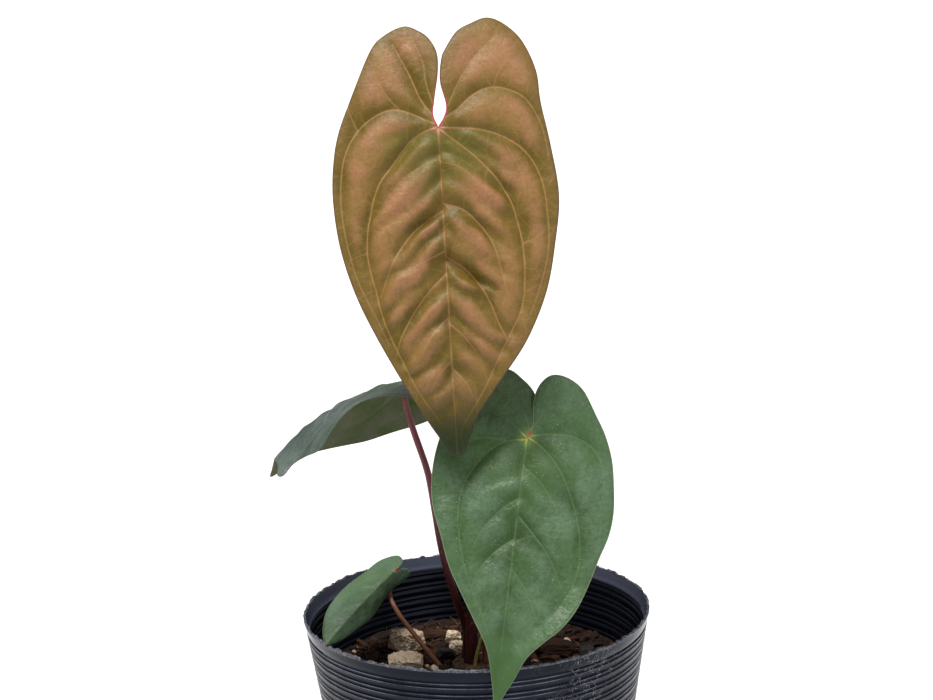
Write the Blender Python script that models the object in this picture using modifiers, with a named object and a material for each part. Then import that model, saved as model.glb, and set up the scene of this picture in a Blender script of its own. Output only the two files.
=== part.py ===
"""Potted anthurium: a young plant with four heart-shaped leaves in a ribbed nursery pot.

Frame: metres, +Z up, origin at the centre of the pot's underside, -Y is the front.
Lengths in the tables below are millimetres, as their comments say, and are scaled by MM.
"""

from math import cos, pi, radians, sin

import bmesh
import bpy
from mathutils import Euler, Matrix, Vector, geometry, noise

MM = 0.001
GAP = 0.3 * MM  # clearance between pieces that touch

# Pot: soft black polyethylene, turned profile
POT_HEIGHT = 125 * MM
POT_RIM_RADIUS = 75 * MM
POT_BASE_RADIUS = 56 * MM
POT_WALL = 1.0 * MM
POT_FLOOR = 1.6 * MM
PLAIN_BAND = 6 * MM  # smooth band under the rim
RIB_PITCH = 5.3 * MM
RIB_DEPTH = 0.7 * MM
DRAIN_HOLES = 8
DRAIN_HOLE_RADIUS = 4 * MM
DRAIN_CIRCLE_RADIUS = 38 * MM

# Potting mix
RIM_TO_MIX = 31 * MM  # how far the mix lies below the rim
MIX_TOP = POT_HEIGHT - RIM_TO_MIX

# Crown: the short stem that carries the petioles
CROWN_CENTRE = Vector((-1, 8, 0)) * MM
CROWN_RADIUS = 10 * MM
CROWN_RISE = 3 * MM  # above the mix
CROWN_DEPTH = 30 * MM  # below the mix
ROOT_RADIUS = 2.0 * MM
ROOT_COUNT = 7

# Leaves
BLADE_THICKNESS = 0.6 * MM
BLADE_CELL = 8 * MM  # edge length of a blade's facets
SHEATH_WALL = 1.1 * MM
SHEATH_HEIGHT = 20 * MM
YOUNG_ROOT_RADIUS = 0.7 * MM
FRONT_LEAF_INSET = 28 * MM  # from the rim's front to the front petiole's end
SMALL_LEAF_INSET = 39 * MM  # from the rim's left side to the small petiole's end

# The slope of the pot's wall, and radii that follow from it
WALL_SLOPE = (POT_RIM_RADIUS - POT_BASE_RADIUS) / POT_HEIGHT


def wall_radius(height):
    """Outer radius of the pot's wall at this height."""
    return POT_BASE_RADIUS + WALL_SLOPE * height


MIX_RADIUS = wall_radius(MIX_TOP) - POT_WALL - RIB_DEPTH - GAP

# Blades. `outline` runs from the notch round the lobe to the tip, once for each half,
# as (across, along) in mm, along the midrib from the petiole's end. `place` is that
# end, in mm from the centre of the rim's plane: the front leaf follows the front of the
# rim and the small leaf its left side. `angles` are pitch, bank and turn in degrees,
# applied YXZ. `arch` bends the midrib towards the tip and over the lobes, `fold` and
# `curl` droop the left and right half at the midrib and over `half_width`, and
# `tip_fold` replaces `fold` at the tip, all in degrees. `lobe_drop` lowers the two
# lobes' ends and `wave` is the height of the margin's wave, both in mm.
BLADES = {
    "bronze_leaf_blade": {
        "place": (-8.8, -20, 215),
        "angles": (63, -3, 3),
        "length": 135,
        "lobes": 45,
        "half_width": 48,
        "arch": (22, 12),
        "fold": (5, 5),
        "curl": (8, 8),
        "tip_fold": -4,
        "left": [
            (0, 0), (-2, -6), (-1, -13), (1, -24), (1, -33), (-2, -40), (-6, -44),
            (-12, -47), (-20, -44), (-26, -38), (-34, -20), (-41, -3), (-44, 10),
            (-45, 26), (-43, 46), (-38, 65), (-31, 82), (-21, 102), (-11, 120),
            (-5, 129), (0, 135),
        ],
        "right": [
            (0, 0), (3, -5), (4, -10), (2, -20), (3, -30), (5, -35), (10, -43),
            (16, -47), (23, -50), (30, -47), (37, -39), (42, -25), (43, -11), (46, 8),
            (48, 30), (45, 50), (40, 70), (31, 89), (20, 104), (9, 118), (3, 128),
            (0, 135),
        ],
    },
    "front_leaf_blade": {
        "place": (23, (FRONT_LEAF_INSET - POT_RIM_RADIUS) / MM, 90),
        "angles": (59, 15, -18),
        "length": 114,
        "lobes": 30,
        "half_width": 40,
        "arch": (18, 4),
        "fold": (4, 4),
        "curl": (10, 10),
        "tip_fold": -10,
        "lobe_drop": (5, -1),
        "left": [
            (0, 0), (2, -6), (3, -14), (0, -21), (-5, -26), (-11, -30), (-17, -28),
            (-24, -22), (-31, -12), (-35, -1), (-37, 10), (-37, 21), (-35, 32),
            (-30, 44), (-25, 56), (-19, 66), (-12, 77), (-6, 87), (-3, 97), (-1, 106),
            (0, 114),
        ],
        "right": [
            (0, 0), (2, -5), (1, -14), (2, -21), (5, -26), (9, -28), (15, -27),
            (21, -23), (27, -14), (32, -6), (36, 4), (38, 15), (39, 26), (38, 36),
            (35, 46), (32, 57), (28, 68), (23, 76), (17, 82), (11, 89), (7, 98),
            (3, 106), (0, 114),
        ],
    },
    "left_leaf_blade": {
        "place": (-28, 6, 102),
        "angles": (6, -24, -80),
        "length": 70,
        "lobes": 22,
        "half_width": 28,
        "arch": (44, 14),
        "fold": (26, 14),
        "curl": (24, 8),
        "tip_fold": 34,
        "wave": (0, 5),
        "left": [
            (0, 0), (-2, -6), (-6, -14), (-12, -19), (-19, -19), (-25, -14), (-28, -5),
            (-29, 8), (-28, 22), (-24, 34), (-18, 46), (-13, 54), (-10, 60), (-8, 68),
            (-5, 73), (-3, 70), (0, 66),
        ],
        "right": [
            (0, 0), (2, -6), (6, -14), (12, -19), (19, -19), (25, -14), (28, -5),
            (29, 8), (28, 22), (26, 34), (24, 44), (22, 52), (16, 58), (12, 64),
            (11, 71), (8, 72), (5, 68), (0, 66),
        ],
    },
    "small_leaf_blade": {
        "place": ((SMALL_LEAF_INSET - POT_RIM_RADIUS) / MM, 33, 7),
        "angles": (13, 28, -33),
        "length": 54,
        "lobes": 13,
        "half_width": 14,
        "arch": (22, 10),
        "fold": (22, 44),
        "curl": (14, 20),
        "tip_fold": 20,
        "left": [
            (0, 0), (0, -5), (-2, -10), (-6, -13), (-9, -11), (-12, -5), (-13, 6),
            (-15, 16), (-15, 26), (-13, 36), (-8, 45), (-3, 51), (0, 54),
        ],
        "right": [
            (0, 0), (2, -6), (4, -9), (6, -10), (7, -8), (7, -2), (6, 7), (7, 17),
            (8, 27), (6, 37), (4, 46), (1, 52), (0, 54),
        ],
    },
}
# The wave along a margin, where a blade has one: its length and start in mm
WAVE_LENGTH = 86
WAVE_START = 8

# Petioles. `foot` is the lower end in mm from the crown's top centre, `radii` are at
# the foot and at the blade, `rise` is the length that stands straight on the crown, `sunk`
# puts a foot beside the crown, that far below its top, and `bends` are (share of the way
# up, aside x, aside y) in mm.
PETIOLES = {
    "bronze_leaf_petiole": {
        "blade": "bronze_leaf_blade",
        "foot": (-1.8, -2),
        "radii": (2.0, 1.5),
        "rise": SHEATH_HEIGHT / MM + 2,
        "bends": [(0.22, 2.0, 6), (0.48, 3.6, 16), (0.7, 2.6, 18), (0.85, 1.2, 13),
                  (0.95, 0.2, 5)],
    },
    "front_leaf_petiole": {
        "blade": "front_leaf_blade",
        "foot": (4.7, -2),
        "radii": (1.8, 1.4),
        "bends": [(0.1, -1.4, 5), (0.3, 0.5, 19), (0.6, 3.5, 34), (0.82, 3.5, 29),
                  (0.94, 1.5, 13)],
    },
    "left_leaf_petiole": {
        "blade": "left_leaf_blade",
        "foot": (-4, 5),
        "radii": (1.9, 1.4),
        "bends": [(0.115, 2.6, 0.5), (0.22, 1.5, -1.7), (0.4, 0.6, -2.4), (0.62, 2.2, -1.4),
                  (0.71, 2.4, -0.9), (0.87, 0.4, 0.3)],
    },
    "small_leaf_petiole": {
        "blade": "small_leaf_blade",
        "foot": (-1.2 - CROWN_RADIUS / MM, 0),
        "sunk": 11,
        "radii": (1.2, 1.0),
        "bends": [(0.18, 0.6, -4.5), (0.33, -1.3, -4.9), (0.555, -4.5, -3.3), (0.65, -5.4, -3.6),
                  (0.74, -5.8, -2.8), (0.81, -6, 0), (0.91, -3.6, 0.8)],
    },
}
# The young root's points, in mm from the crown's top
YOUNG_ROOT = [(-0.5, -7, 0.3), (0, -7, 4), (1, -7, 8), (2.5, -7, 13), (4.4, -5.4, 17)]
PETIOLE_STEPS = 5  # spline points in each stretch between two bends

# Loose pieces on the mix: name, place as shares of the mix's radius, size in mm and turn
LOOSE_PIECES = {
    "pumice": [
        (-0.475, 0.46, 17.5, 10, 8, -18), (-0.47, 0.05, 15, 11, 7, 20), (-0.16, 0.56, 7, 6, 5, 40),
        (-0.13, 0.37, 8, 6, 5, -30), (0.62, -0.25, 12, 9, 7, 70), (0.05, -0.6, 10, 8, 6, 10),
    ],
    "charcoal": [
        (-0.21, 0.25, 8, 7, 6, 15), (-0.4, 0.21, 8, 7, 5, 60), (0.3, -0.35, 12, 9, 6, 35),
        (-0.45, -0.45, 10, 9, 6, 80), (0.72, 0.2, 9, 8, 6, -20), (0.1, 0.8, 11, 7, 6, 0),
    ],
    "husk_chip": [
        (-0.3, 0.66, 18, 7, 4, 12), (-0.7, 0.3, 14, 6, 3.5, 70), (0.5, 0.3, 19, 12, 6, -25),
        (-0.68, -0.1, 16, 7, 4, 85), (-0.1, -0.36, 17, 8, 4, -40), (0.42, -0.66, 18, 8, 4, 30),
        (-0.3, -0.74, 16, 7, 4, -15), (0.82, -0.05, 15, 6, 4, 95), (0.45, 0.66, 16, 8, 4, 50),
        (-0.5, 0.72, 14, 6, 4, 35), (0.24, 0.5, 13, 6, 4, -70),
    ],
}
# Pieces that lie against the crown: towards (degrees), and mm from the crown's edge
BESIDE_CROWN = {"charcoal_1": (145.8, 6.1)}
STONE_ROUGHNESS = 0.22  # how far a loose piece's surface strays, as a share of its size

COLOURS = {
    "pot_black": ((0.012, 0.013, 0.018), 0.42),
    "bronze_leaf": ((0.28, 0.16, 0.055), 0.42),
    "green_leaf": ((0.075, 0.15, 0.075), 0.40),
    "petiole_crimson": ((0.13, 0.02, 0.025), 0.45),
    "petiole_brown": ((0.16, 0.06, 0.03), 0.55),
    "sheath_maroon": ((0.04, 0.006, 0.01), 0.40),
    "root_green": ((0.25, 0.24, 0.06), 0.50),
    "root_brown": ((0.14, 0.08, 0.04), 0.75),
    "mix_brown": ((0.025, 0.014, 0.009), 0.95),
    "husk_brown": ((0.06, 0.028, 0.014), 0.90),
    "pumice_cream": ((0.55, 0.42, 0.31), 0.90),
    "charcoal_black": ((0.008, 0.008, 0.008), 0.80),
}

for old in list(bpy.data.objects):
    bpy.data.objects.remove(old, do_unlink=True)

plant_pot = bpy.data.collections.new("potted_anthurium")
cutters = bpy.data.collections.new("cutters")
bpy.context.scene.collection.children.link(plant_pot)
bpy.context.scene.collection.children.link(cutters)
cutters.hide_render = True

materials = {}
for slot, (colour, roughness) in COLOURS.items():
    material = bpy.data.materials.new(slot)
    material.use_nodes = True
    shader = material.node_tree.nodes["Principled BSDF"]
    shader.inputs["Base Color"].default_value = (*colour, 1)
    shader.inputs["Roughness"].default_value = roughness
    materials[slot] = material


def add_object(name, data, slot=None, collection=plant_pot):
    """A new object in the collection, with its material."""
    obj = bpy.data.objects.new(name, data)
    collection.objects.link(obj)
    if slot:
        data.materials.append(materials[slot])
    return obj


def mesh_from(name, build):
    """A mesh that build(bm) fills."""
    bm = bmesh.new()
    build(bm)
    mesh = bpy.data.meshes.new(name)
    bm.to_mesh(mesh)
    bm.free()
    return mesh


def applied(obj, name, slot, collection=plant_pot):
    """The object's evaluated shape as a plain mesh object, which takes its place."""
    bpy.context.view_layer.update()
    graph = bpy.context.evaluated_depsgraph_get()
    mesh = bpy.data.meshes.new_from_object(obj.evaluated_get(graph))
    bm = bmesh.new()
    bm.from_mesh(mesh)
    bmesh.ops.remove_doubles(bm, verts=bm.verts, dist=1e-6)
    bmesh.ops.recalc_face_normals(bm, faces=bm.faces)
    bm.to_mesh(mesh)
    bm.free()
    matrix = obj.matrix_world.copy()
    bpy.data.objects.remove(obj, do_unlink=True)
    mesh.materials.clear()
    new = add_object(name, mesh, slot, collection)
    new.matrix_world = matrix
    return new


def boolean(obj, other, operation):
    """A Boolean modifier on obj, with the other as its cutter or its partner."""
    modifier = obj.modifiers.new(other.name, "BOOLEAN")
    modifier.operation = operation
    modifier.object = other
    modifier.solver = "EXACT"


def as_cutter(obj):
    """Hides a helper and shows it as wires."""
    obj.hide_render = True
    obj.display_type = "WIRE"
    return obj


def through(points, steps):
    """Points along a smooth curve through the given ones (Catmull-Rom)."""
    ends = [2 * points[0] - points[1], *points, 2 * points[-1] - points[-2]]
    curve = []
    for before, start, stop, after in zip(ends, ends[1:], ends[2:], ends[3:]):
        for step in range(steps):
            t = step / steps
            curve.append(
                0.5 * (2 * start + (stop - before) * t
                       + (2 * before - 5 * start + 4 * stop - after) * t**2
                       + (3 * start - before - 3 * stop + after) * t**3)
            )
    return [*curve, points[-1]]


def tube(name, points, radii, slot, collection=plant_pot):
    """A round stalk along the points, from one radius to the other."""
    curve = bpy.data.curves.new(name, "CURVE")
    curve.dimensions = "3D"
    curve.bevel_depth = 1.0
    curve.bevel_resolution = 2
    curve.use_fill_caps = True
    spline = curve.splines.new("POLY")
    spline.points.add(len(points) - 1)
    for index, point in enumerate(points):
        share = index / (len(points) - 1)
        spline.points[index].co = (*point, 1)
        spline.points[index].radius = radii[0] + (radii[1] - radii[0]) * share
    return applied(add_object(name, curve, None, collection), name, slot, collection)


def turned(name, profile, slot, steps):
    """A body of revolution about Z from a profile of (radius, height) points."""

    def build(bm):
        verts = [bm.verts.new((radius, 0, height)) for radius, height in profile]
        for first, second in zip(verts, verts[1:]):
            bm.edges.new((first, second))

    obj = add_object(name, mesh_from(name, build), slot)
    screw = obj.modifiers.new("turn", "SCREW")
    screw.axis = "Z"
    screw.steps = steps
    screw.render_steps = steps
    screw.use_merge_vertices = True
    screw.merge_threshold = 1e-6
    return obj


# ---------------------------------------------------------------- pot
def pot_profile():
    """Inner floor, inner wall, rim, ribbed outer wall and underside."""
    floor_radius = wall_radius(POT_FLOOR) - POT_WALL - RIB_DEPTH
    inner_rim = POT_RIM_RADIUS - POT_WALL - RIB_DEPTH
    profile = [(0, POT_FLOOR), (floor_radius, POT_FLOOR), (inner_rim, POT_HEIGHT)]
    profile.append((POT_RIM_RADIUS, POT_HEIGHT))
    height = POT_HEIGHT - PLAIN_BAND
    profile.append((wall_radius(height), height))
    while height > 2 * RIB_PITCH:
        valley = height - RIB_PITCH / 2
        profile.append((wall_radius(valley) - RIB_DEPTH, valley))
        height -= RIB_PITCH
        profile.append((wall_radius(height), height))
    profile += [(POT_BASE_RADIUS, 0), (0, 0)]
    return profile


pot = turned("nursery_pot", pot_profile(), "pot_black", 48)

drill = bpy.data.meshes.new("drain_drill")
bm = bmesh.new()
for index in range(DRAIN_HOLES):
    angle = 2 * pi * index / DRAIN_HOLES
    middle = Vector((cos(angle), sin(angle), 0)) * DRAIN_CIRCLE_RADIUS
    bmesh.ops.create_cone(
        bm, cap_ends=True, segments=12, radius1=DRAIN_HOLE_RADIUS, radius2=DRAIN_HOLE_RADIUS,
        depth=4 * POT_FLOOR, matrix=Matrix.Translation(middle),
    )
bm.to_mesh(drill)
bm.free()
boolean(pot, as_cutter(add_object("drain_drill", drill, None, cutters)), "DIFFERENCE")

# ---------------------------------------------------------------- crown and roots
crown_top = CROWN_CENTRE + Vector((0, 0, MIX_TOP + CROWN_RISE))


def root_path(index):
    """A thick root: out of the crown's side and down into the mix."""
    angle = 2 * pi * (index + 0.35) / ROOT_COUNT
    outward = Vector((cos(angle), sin(angle), 0))
    start = crown_top - Vector((0, 0, CROWN_RISE + 9 * MM + 2 * MM * (index % 3)))
    reach = MIX_RADIUS * (0.45 + 0.1 * (index % 3))
    down = MIX_TOP * (0.45 + 0.1 * (index % 2))
    points = [
        start + outward * CROWN_RADIUS * 0.5,
        start + outward * (CROWN_RADIUS + reach * 0.3) - Vector((0, 0, down * 0.12)),
        start + outward * reach * 0.85 - Vector((0, 0, down * 0.5)),
        start + outward * reach - Vector((0, 0, down)),
    ]
    return through(points, 3)


def make_rootstock(name, extra, collection):
    """The crown with its roots, or the hole that it needs when extra is the clearance."""
    depth = CROWN_DEPTH + CROWN_RISE + 2 * extra

    def build(bm):
        bmesh.ops.create_cone(
            bm, cap_ends=True, segments=16, radius1=CROWN_RADIUS * 0.6 + extra,
            radius2=CROWN_RADIUS + extra, depth=depth,
        )

    crown = add_object(name, mesh_from(name, build), None, collection)
    crown.location = crown_top - Vector((0, 0, depth / 2 - extra))
    for index in range(ROOT_COUNT):
        radii = (ROOT_RADIUS + extra, ROOT_RADIUS * 0.6 + extra)
        points = root_path(index)
        points[-1] -= (points[-2] - points[-1]).normalized() * extra
        root = tube(f"{name}_{index}", points, radii, None, cutters)
        boolean(crown, as_cutter(root), "UNION")
    return applied(crown, name, "root_brown", collection)


rootstock = make_rootstock("rootstock", 0, plant_pot)
root_hole = as_cutter(make_rootstock("root_hole", GAP, cutters))

# ---------------------------------------------------------------- potting mix
mix_profile = [
    (0, MIX_TOP),
    (MIX_RADIUS, MIX_TOP),
    (wall_radius(POT_FLOOR + GAP) - POT_WALL - RIB_DEPTH - GAP, POT_FLOOR + GAP),
    (0, POT_FLOOR + GAP),
]
mix = turned("potting_mix", mix_profile, "mix_brown", 32)
boolean(mix, root_hole, "DIFFERENCE")


# ---------------------------------------------------------------- blades
def blade_point(leaf, across, along, half):
    """The upper skin at flat coordinates in mm: half is 0 on the left, 1 on the right."""
    side = (-1, 1)[half]
    span = leaf["length"] if along >= 0 else leaf["lobes"]
    bend = radians(leaf["arch"][0 if along >= 0 else 1]) / span
    angle = bend * along
    down = Vector((0, -sin(angle), -(1 - cos(angle)))) / bend
    near_tip = min(max(along / leaf["length"], 0), 1)
    near_tip *= near_tip * (3 - 2 * near_tip)
    fold = radians(leaf["fold"][half] * (1 - near_tip) + leaf["tip_fold"] * near_tip)
    curl = radians(leaf["curl"][half]) / leaf["half_width"]
    reach = side * across
    out = (sin(fold + curl * reach) - sin(fold)) / curl
    drop = (cos(fold) - cos(fold + curl * reach)) / curl
    drop += leaf.get("lobe_drop", (0, 0))[half] * max(-along / leaf["lobes"], 0) ** 1.5
    phase = 2 * pi * (along - WAVE_START) / WAVE_LENGTH
    edge = max(reach / leaf["half_width"], 0) ** 1.5
    drop -= leaf.get("wave", (0, 0))[half] * edge * sin(phase)
    return Vector((side * out, down.y + drop * sin(angle), down.z - drop * cos(angle)))


def distance(point, start, stop):
    """From a flat point to the segment between two others."""
    line = stop - start
    share = min(max((point - start).dot(line) / line.length_squared, 0), 1)
    return (point - start - line * share).length


def half_blade(bm, leaf, half):
    """Facets one half of a blade: its outline, the midrib and points inside."""
    side = (-1, 1)[half]
    cell = BLADE_CELL / MM
    outline = through([Vector(point) for point in leaf[("left", "right")[half]]], 3)
    ring = [outline[0]]
    for point in outline[1:-1]:
        if (point - ring[-1]).length > 0.45 * cell and (point - outline[-1]).length > 0.4 * cell:
            ring.append(point)
    tip = outline[-1]
    ring.append(tip)
    steps = round(tip.y / cell)
    ring += [Vector((0, tip.y * (1 - step / steps))) for step in range(1, steps)]
    inside = []
    rows = int((leaf["length"] + leaf["lobes"]) / (0.87 * cell)) + 2
    for row in range(rows):
        for column in range(-2, int(leaf["half_width"] / cell) + 3):
            across = side * cell * (column + 0.5 * (row % 2))
            point = Vector((across, 0.87 * cell * row - leaf["lobes"] * 1.15))
            if all(distance(point, a, b) > 0.4 * cell for a, b in zip(ring, ring[1:] + ring[:1])):
                inside.append(point)
    count = len(ring)
    edges = [(index, (index + 1) % count) for index in range(count)]
    points, _, faces, *_ = geometry.delaunay_2d_cdt(ring + inside, edges, [], 1, 1e-6)
    used = sorted({index for face in faces for index in face})
    verts = {
        index: bm.verts.new(blade_point(leaf, points[index].x, points[index].y, half) * MM)
        for index in used
    }
    for face in faces:
        bm.faces.new([verts[index] for index in face])


def make_blade(name, leaf, slot):
    """A thin leaf blade, its upper skin facing local +Z and its tip towards local -Y."""

    def build(bm):
        half_blade(bm, leaf, 0)
        half_blade(bm, leaf, 1)
        bmesh.ops.remove_doubles(bm, verts=bm.verts, dist=1e-6)
        bmesh.ops.recalc_face_normals(bm, faces=bm.faces)
        if sum(face.normal.z for face in bm.faces) < 0:
            bmesh.ops.reverse_faces(bm, faces=bm.faces)

    blade = add_object(name, mesh_from(name, build), slot)
    x, y, z = leaf["place"]
    blade.location = Vector((x, y, z)) * MM + Vector((0, 0, POT_HEIGHT))
    blade.rotation_mode = "YXZ"
    blade.rotation_euler = Euler([radians(angle) for angle in leaf["angles"]], "YXZ")
    skin = blade.modifiers.new("thickness", "SOLIDIFY")
    skin.thickness = BLADE_THICKNESS
    skin.offset = -1
    blade.data.shade_smooth()
    return blade


blade_slots = {name: "green_leaf" for name in BLADES} | {"bronze_leaf_blade": "bronze_leaf"}
blades = {name: make_blade(name, leaf, blade_slots[name]) for name, leaf in BLADES.items()}
bpy.context.view_layer.update()

# ---------------------------------------------------------------- petioles
petiole_slots = {
    "bronze_leaf_petiole": "petiole_crimson",
    "front_leaf_petiole": "petiole_brown",
    "left_leaf_petiole": "petiole_crimson",
    "small_leaf_petiole": "petiole_brown",
}
petiole_foot = crown_top.z + GAP


def petiole_path(stalk):
    """From the crown up to just under the blade's notch."""
    foot_x, foot_y = stalk["foot"]
    foot = crown_top + Vector((foot_x, foot_y, -stalk.get("sunk", 0))) * MM + Vector((0, 0, GAP))
    clearance = BLADE_THICKNESS + GAP + stalk["radii"][1] * MM
    clearance /= cos(radians(max(BLADES[stalk["blade"]]["fold"])))
    head = blades[stalk["blade"]].matrix_world @ Vector((0, -stalk["radii"][1] * MM, -clearance))
    points = [foot]
    if "sunk" not in stalk:
        points.append(foot + Vector((0, 0, stalk.get("rise", 3) * MM)))
    for share, aside_x, aside_y in stalk["bends"]:
        points.append(foot.lerp(head, share) + Vector((aside_x, aside_y, 0)) * MM)
    return through([*points, head], PETIOLE_STEPS)


for name, stalk in PETIOLES.items():
    radii = [radius * MM for radius in stalk["radii"]]
    path = petiole_path(stalk)
    tube(name, path, radii, petiole_slots[name])
    if "sunk" in stalk:
        path[0] += (path[0] - path[1]).normalized() * GAP
        hole = tube(f"{name}_hole", path, [radius + GAP for radius in radii], None, cutters)
        boolean(mix, as_cutter(hole), "DIFFERENCE")

# ---------------------------------------------------------------- sheath
bronze_stalk = PETIOLES["bronze_leaf_petiole"]
sheath_bore = bronze_stalk["radii"][0] * MM + GAP
sheath_top = petiole_foot + SHEATH_HEIGHT
sheath = turned(
    "cataphyll",
    [
        (sheath_bore, petiole_foot),
        (sheath_bore, sheath_top),
        (sheath_bore + 0.4 * SHEATH_WALL, sheath_top),
        (sheath_bore + SHEATH_WALL, sheath_top - 0.3 * SHEATH_HEIGHT),
        (sheath_bore + SHEATH_WALL, petiole_foot),
        (sheath_bore, petiole_foot),
    ],
    "sheath_maroon",
    20,
)
sheath.location = CROWN_CENTRE + Vector((*bronze_stalk["foot"], 0)) * MM

# ---------------------------------------------------------------- young root
tube(
    "young_root",
    through([crown_top + Vector(point) * MM for point in YOUNG_ROOT], 3),
    (YOUNG_ROOT_RADIUS, YOUNG_ROOT_RADIUS),
    "root_green",
)


# ---------------------------------------------------------------- loose pieces
def make_stone(name, slot, seed, place, size, turn):
    """A lump of pumice, charcoal or husk that lies on the mix."""

    def build(bm):
        bmesh.ops.create_icosphere(bm, subdivisions=2, radius=0.5)
        for vert in bm.verts:
            stray = noise.noise(vert.co * 2.5 + Vector((seed, 0, 0)))
            vert.co *= 1 + STONE_ROUGHNESS * stray
        bmesh.ops.scale(bm, vec=size, verts=bm.verts)
        lowest = min(vert.co.z for vert in bm.verts)
        bmesh.ops.translate(bm, vec=(0, 0, -lowest), verts=bm.verts)

    stone = add_object(name, mesh_from(name, build), slot)
    stone.location = (*place, MIX_TOP + GAP)
    stone.rotation_euler.z = radians(turn)
    stone.data.shade_smooth()


loose_slots = {"pumice": "pumice_cream", "charcoal": "charcoal_black", "husk_chip": "husk_brown"}
seed = 0
for kind, pieces in LOOSE_PIECES.items():
    for number, (share_x, share_y, length, width, height, turn) in enumerate(pieces, 1):
        seed += 10
        name = f"{kind}_{number}"
        place = Vector((share_x, share_y)) * MIX_RADIUS
        if name in BESIDE_CROWN:
            towards, gap = BESIDE_CROWN[name]
            direction = Vector((cos(radians(towards)), sin(radians(towards))))
            place = CROWN_CENTRE.xy + direction * (CROWN_RADIUS + gap * MM)
        size = Vector((length, width, height)) * MM
        make_stone(name, loose_slots[kind], seed, place, size, turn)

for obj in plant_pot.objects:
    if obj.name.endswith("_petiole") or obj.name in ("young_root", "rootstock"):
        obj.data.shade_smooth()
        obj.data.set_sharp_from_angle(angle=radians(40))
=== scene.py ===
"""Looks of the potted anthurium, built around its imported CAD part.

Metres and +Z up, in the CAD's frame. Tables hold millimetres, as their comments say.
"""

import random
from math import cos, floor, pi, radians, sin

import bmesh
import bpy
import numpy as np
from mathutils import Euler, Matrix, Vector, geometry, noise


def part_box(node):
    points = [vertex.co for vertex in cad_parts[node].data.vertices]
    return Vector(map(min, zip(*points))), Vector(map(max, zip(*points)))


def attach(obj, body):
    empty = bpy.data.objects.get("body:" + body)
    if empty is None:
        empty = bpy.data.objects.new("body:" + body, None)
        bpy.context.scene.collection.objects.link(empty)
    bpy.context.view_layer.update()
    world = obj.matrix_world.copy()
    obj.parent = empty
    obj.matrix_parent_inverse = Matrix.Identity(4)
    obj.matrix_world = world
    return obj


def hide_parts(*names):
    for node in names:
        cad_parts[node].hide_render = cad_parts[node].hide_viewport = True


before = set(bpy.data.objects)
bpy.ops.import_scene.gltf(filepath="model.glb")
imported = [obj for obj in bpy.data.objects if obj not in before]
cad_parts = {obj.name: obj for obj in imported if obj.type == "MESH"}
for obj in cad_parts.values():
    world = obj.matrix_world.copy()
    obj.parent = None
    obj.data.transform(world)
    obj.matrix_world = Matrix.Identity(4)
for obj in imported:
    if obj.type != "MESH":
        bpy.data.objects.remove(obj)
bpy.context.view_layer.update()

MM = 0.001
scene = bpy.context.scene

# ------------ sizes shared with the CAD
pot_high, mix_high, root_high = (
    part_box(node)[1] for node in ("nursery_pot", "potting_mix", "rootstock"))
POT_HEIGHT = pot_high.z
RIM_RADIUS = pot_high.x
BASE_RADIUS = RIM_RADIUS - 19 * MM
MIX_TOP = mix_high.z
MIX_RADIUS = mix_high.x
CROWN_TOP = Vector((-1 * MM, 8 * MM, root_high.z))  # its centre
GAP = 0.3 * MM  # between the CAD's solids
BLADE_THICKNESS = 0.6 * MM
SHEATH_HEIGHT = 20 * MM
RIB_PITCH = 5.3 * MM
PLAIN_BAND = 6 * MM

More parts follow.
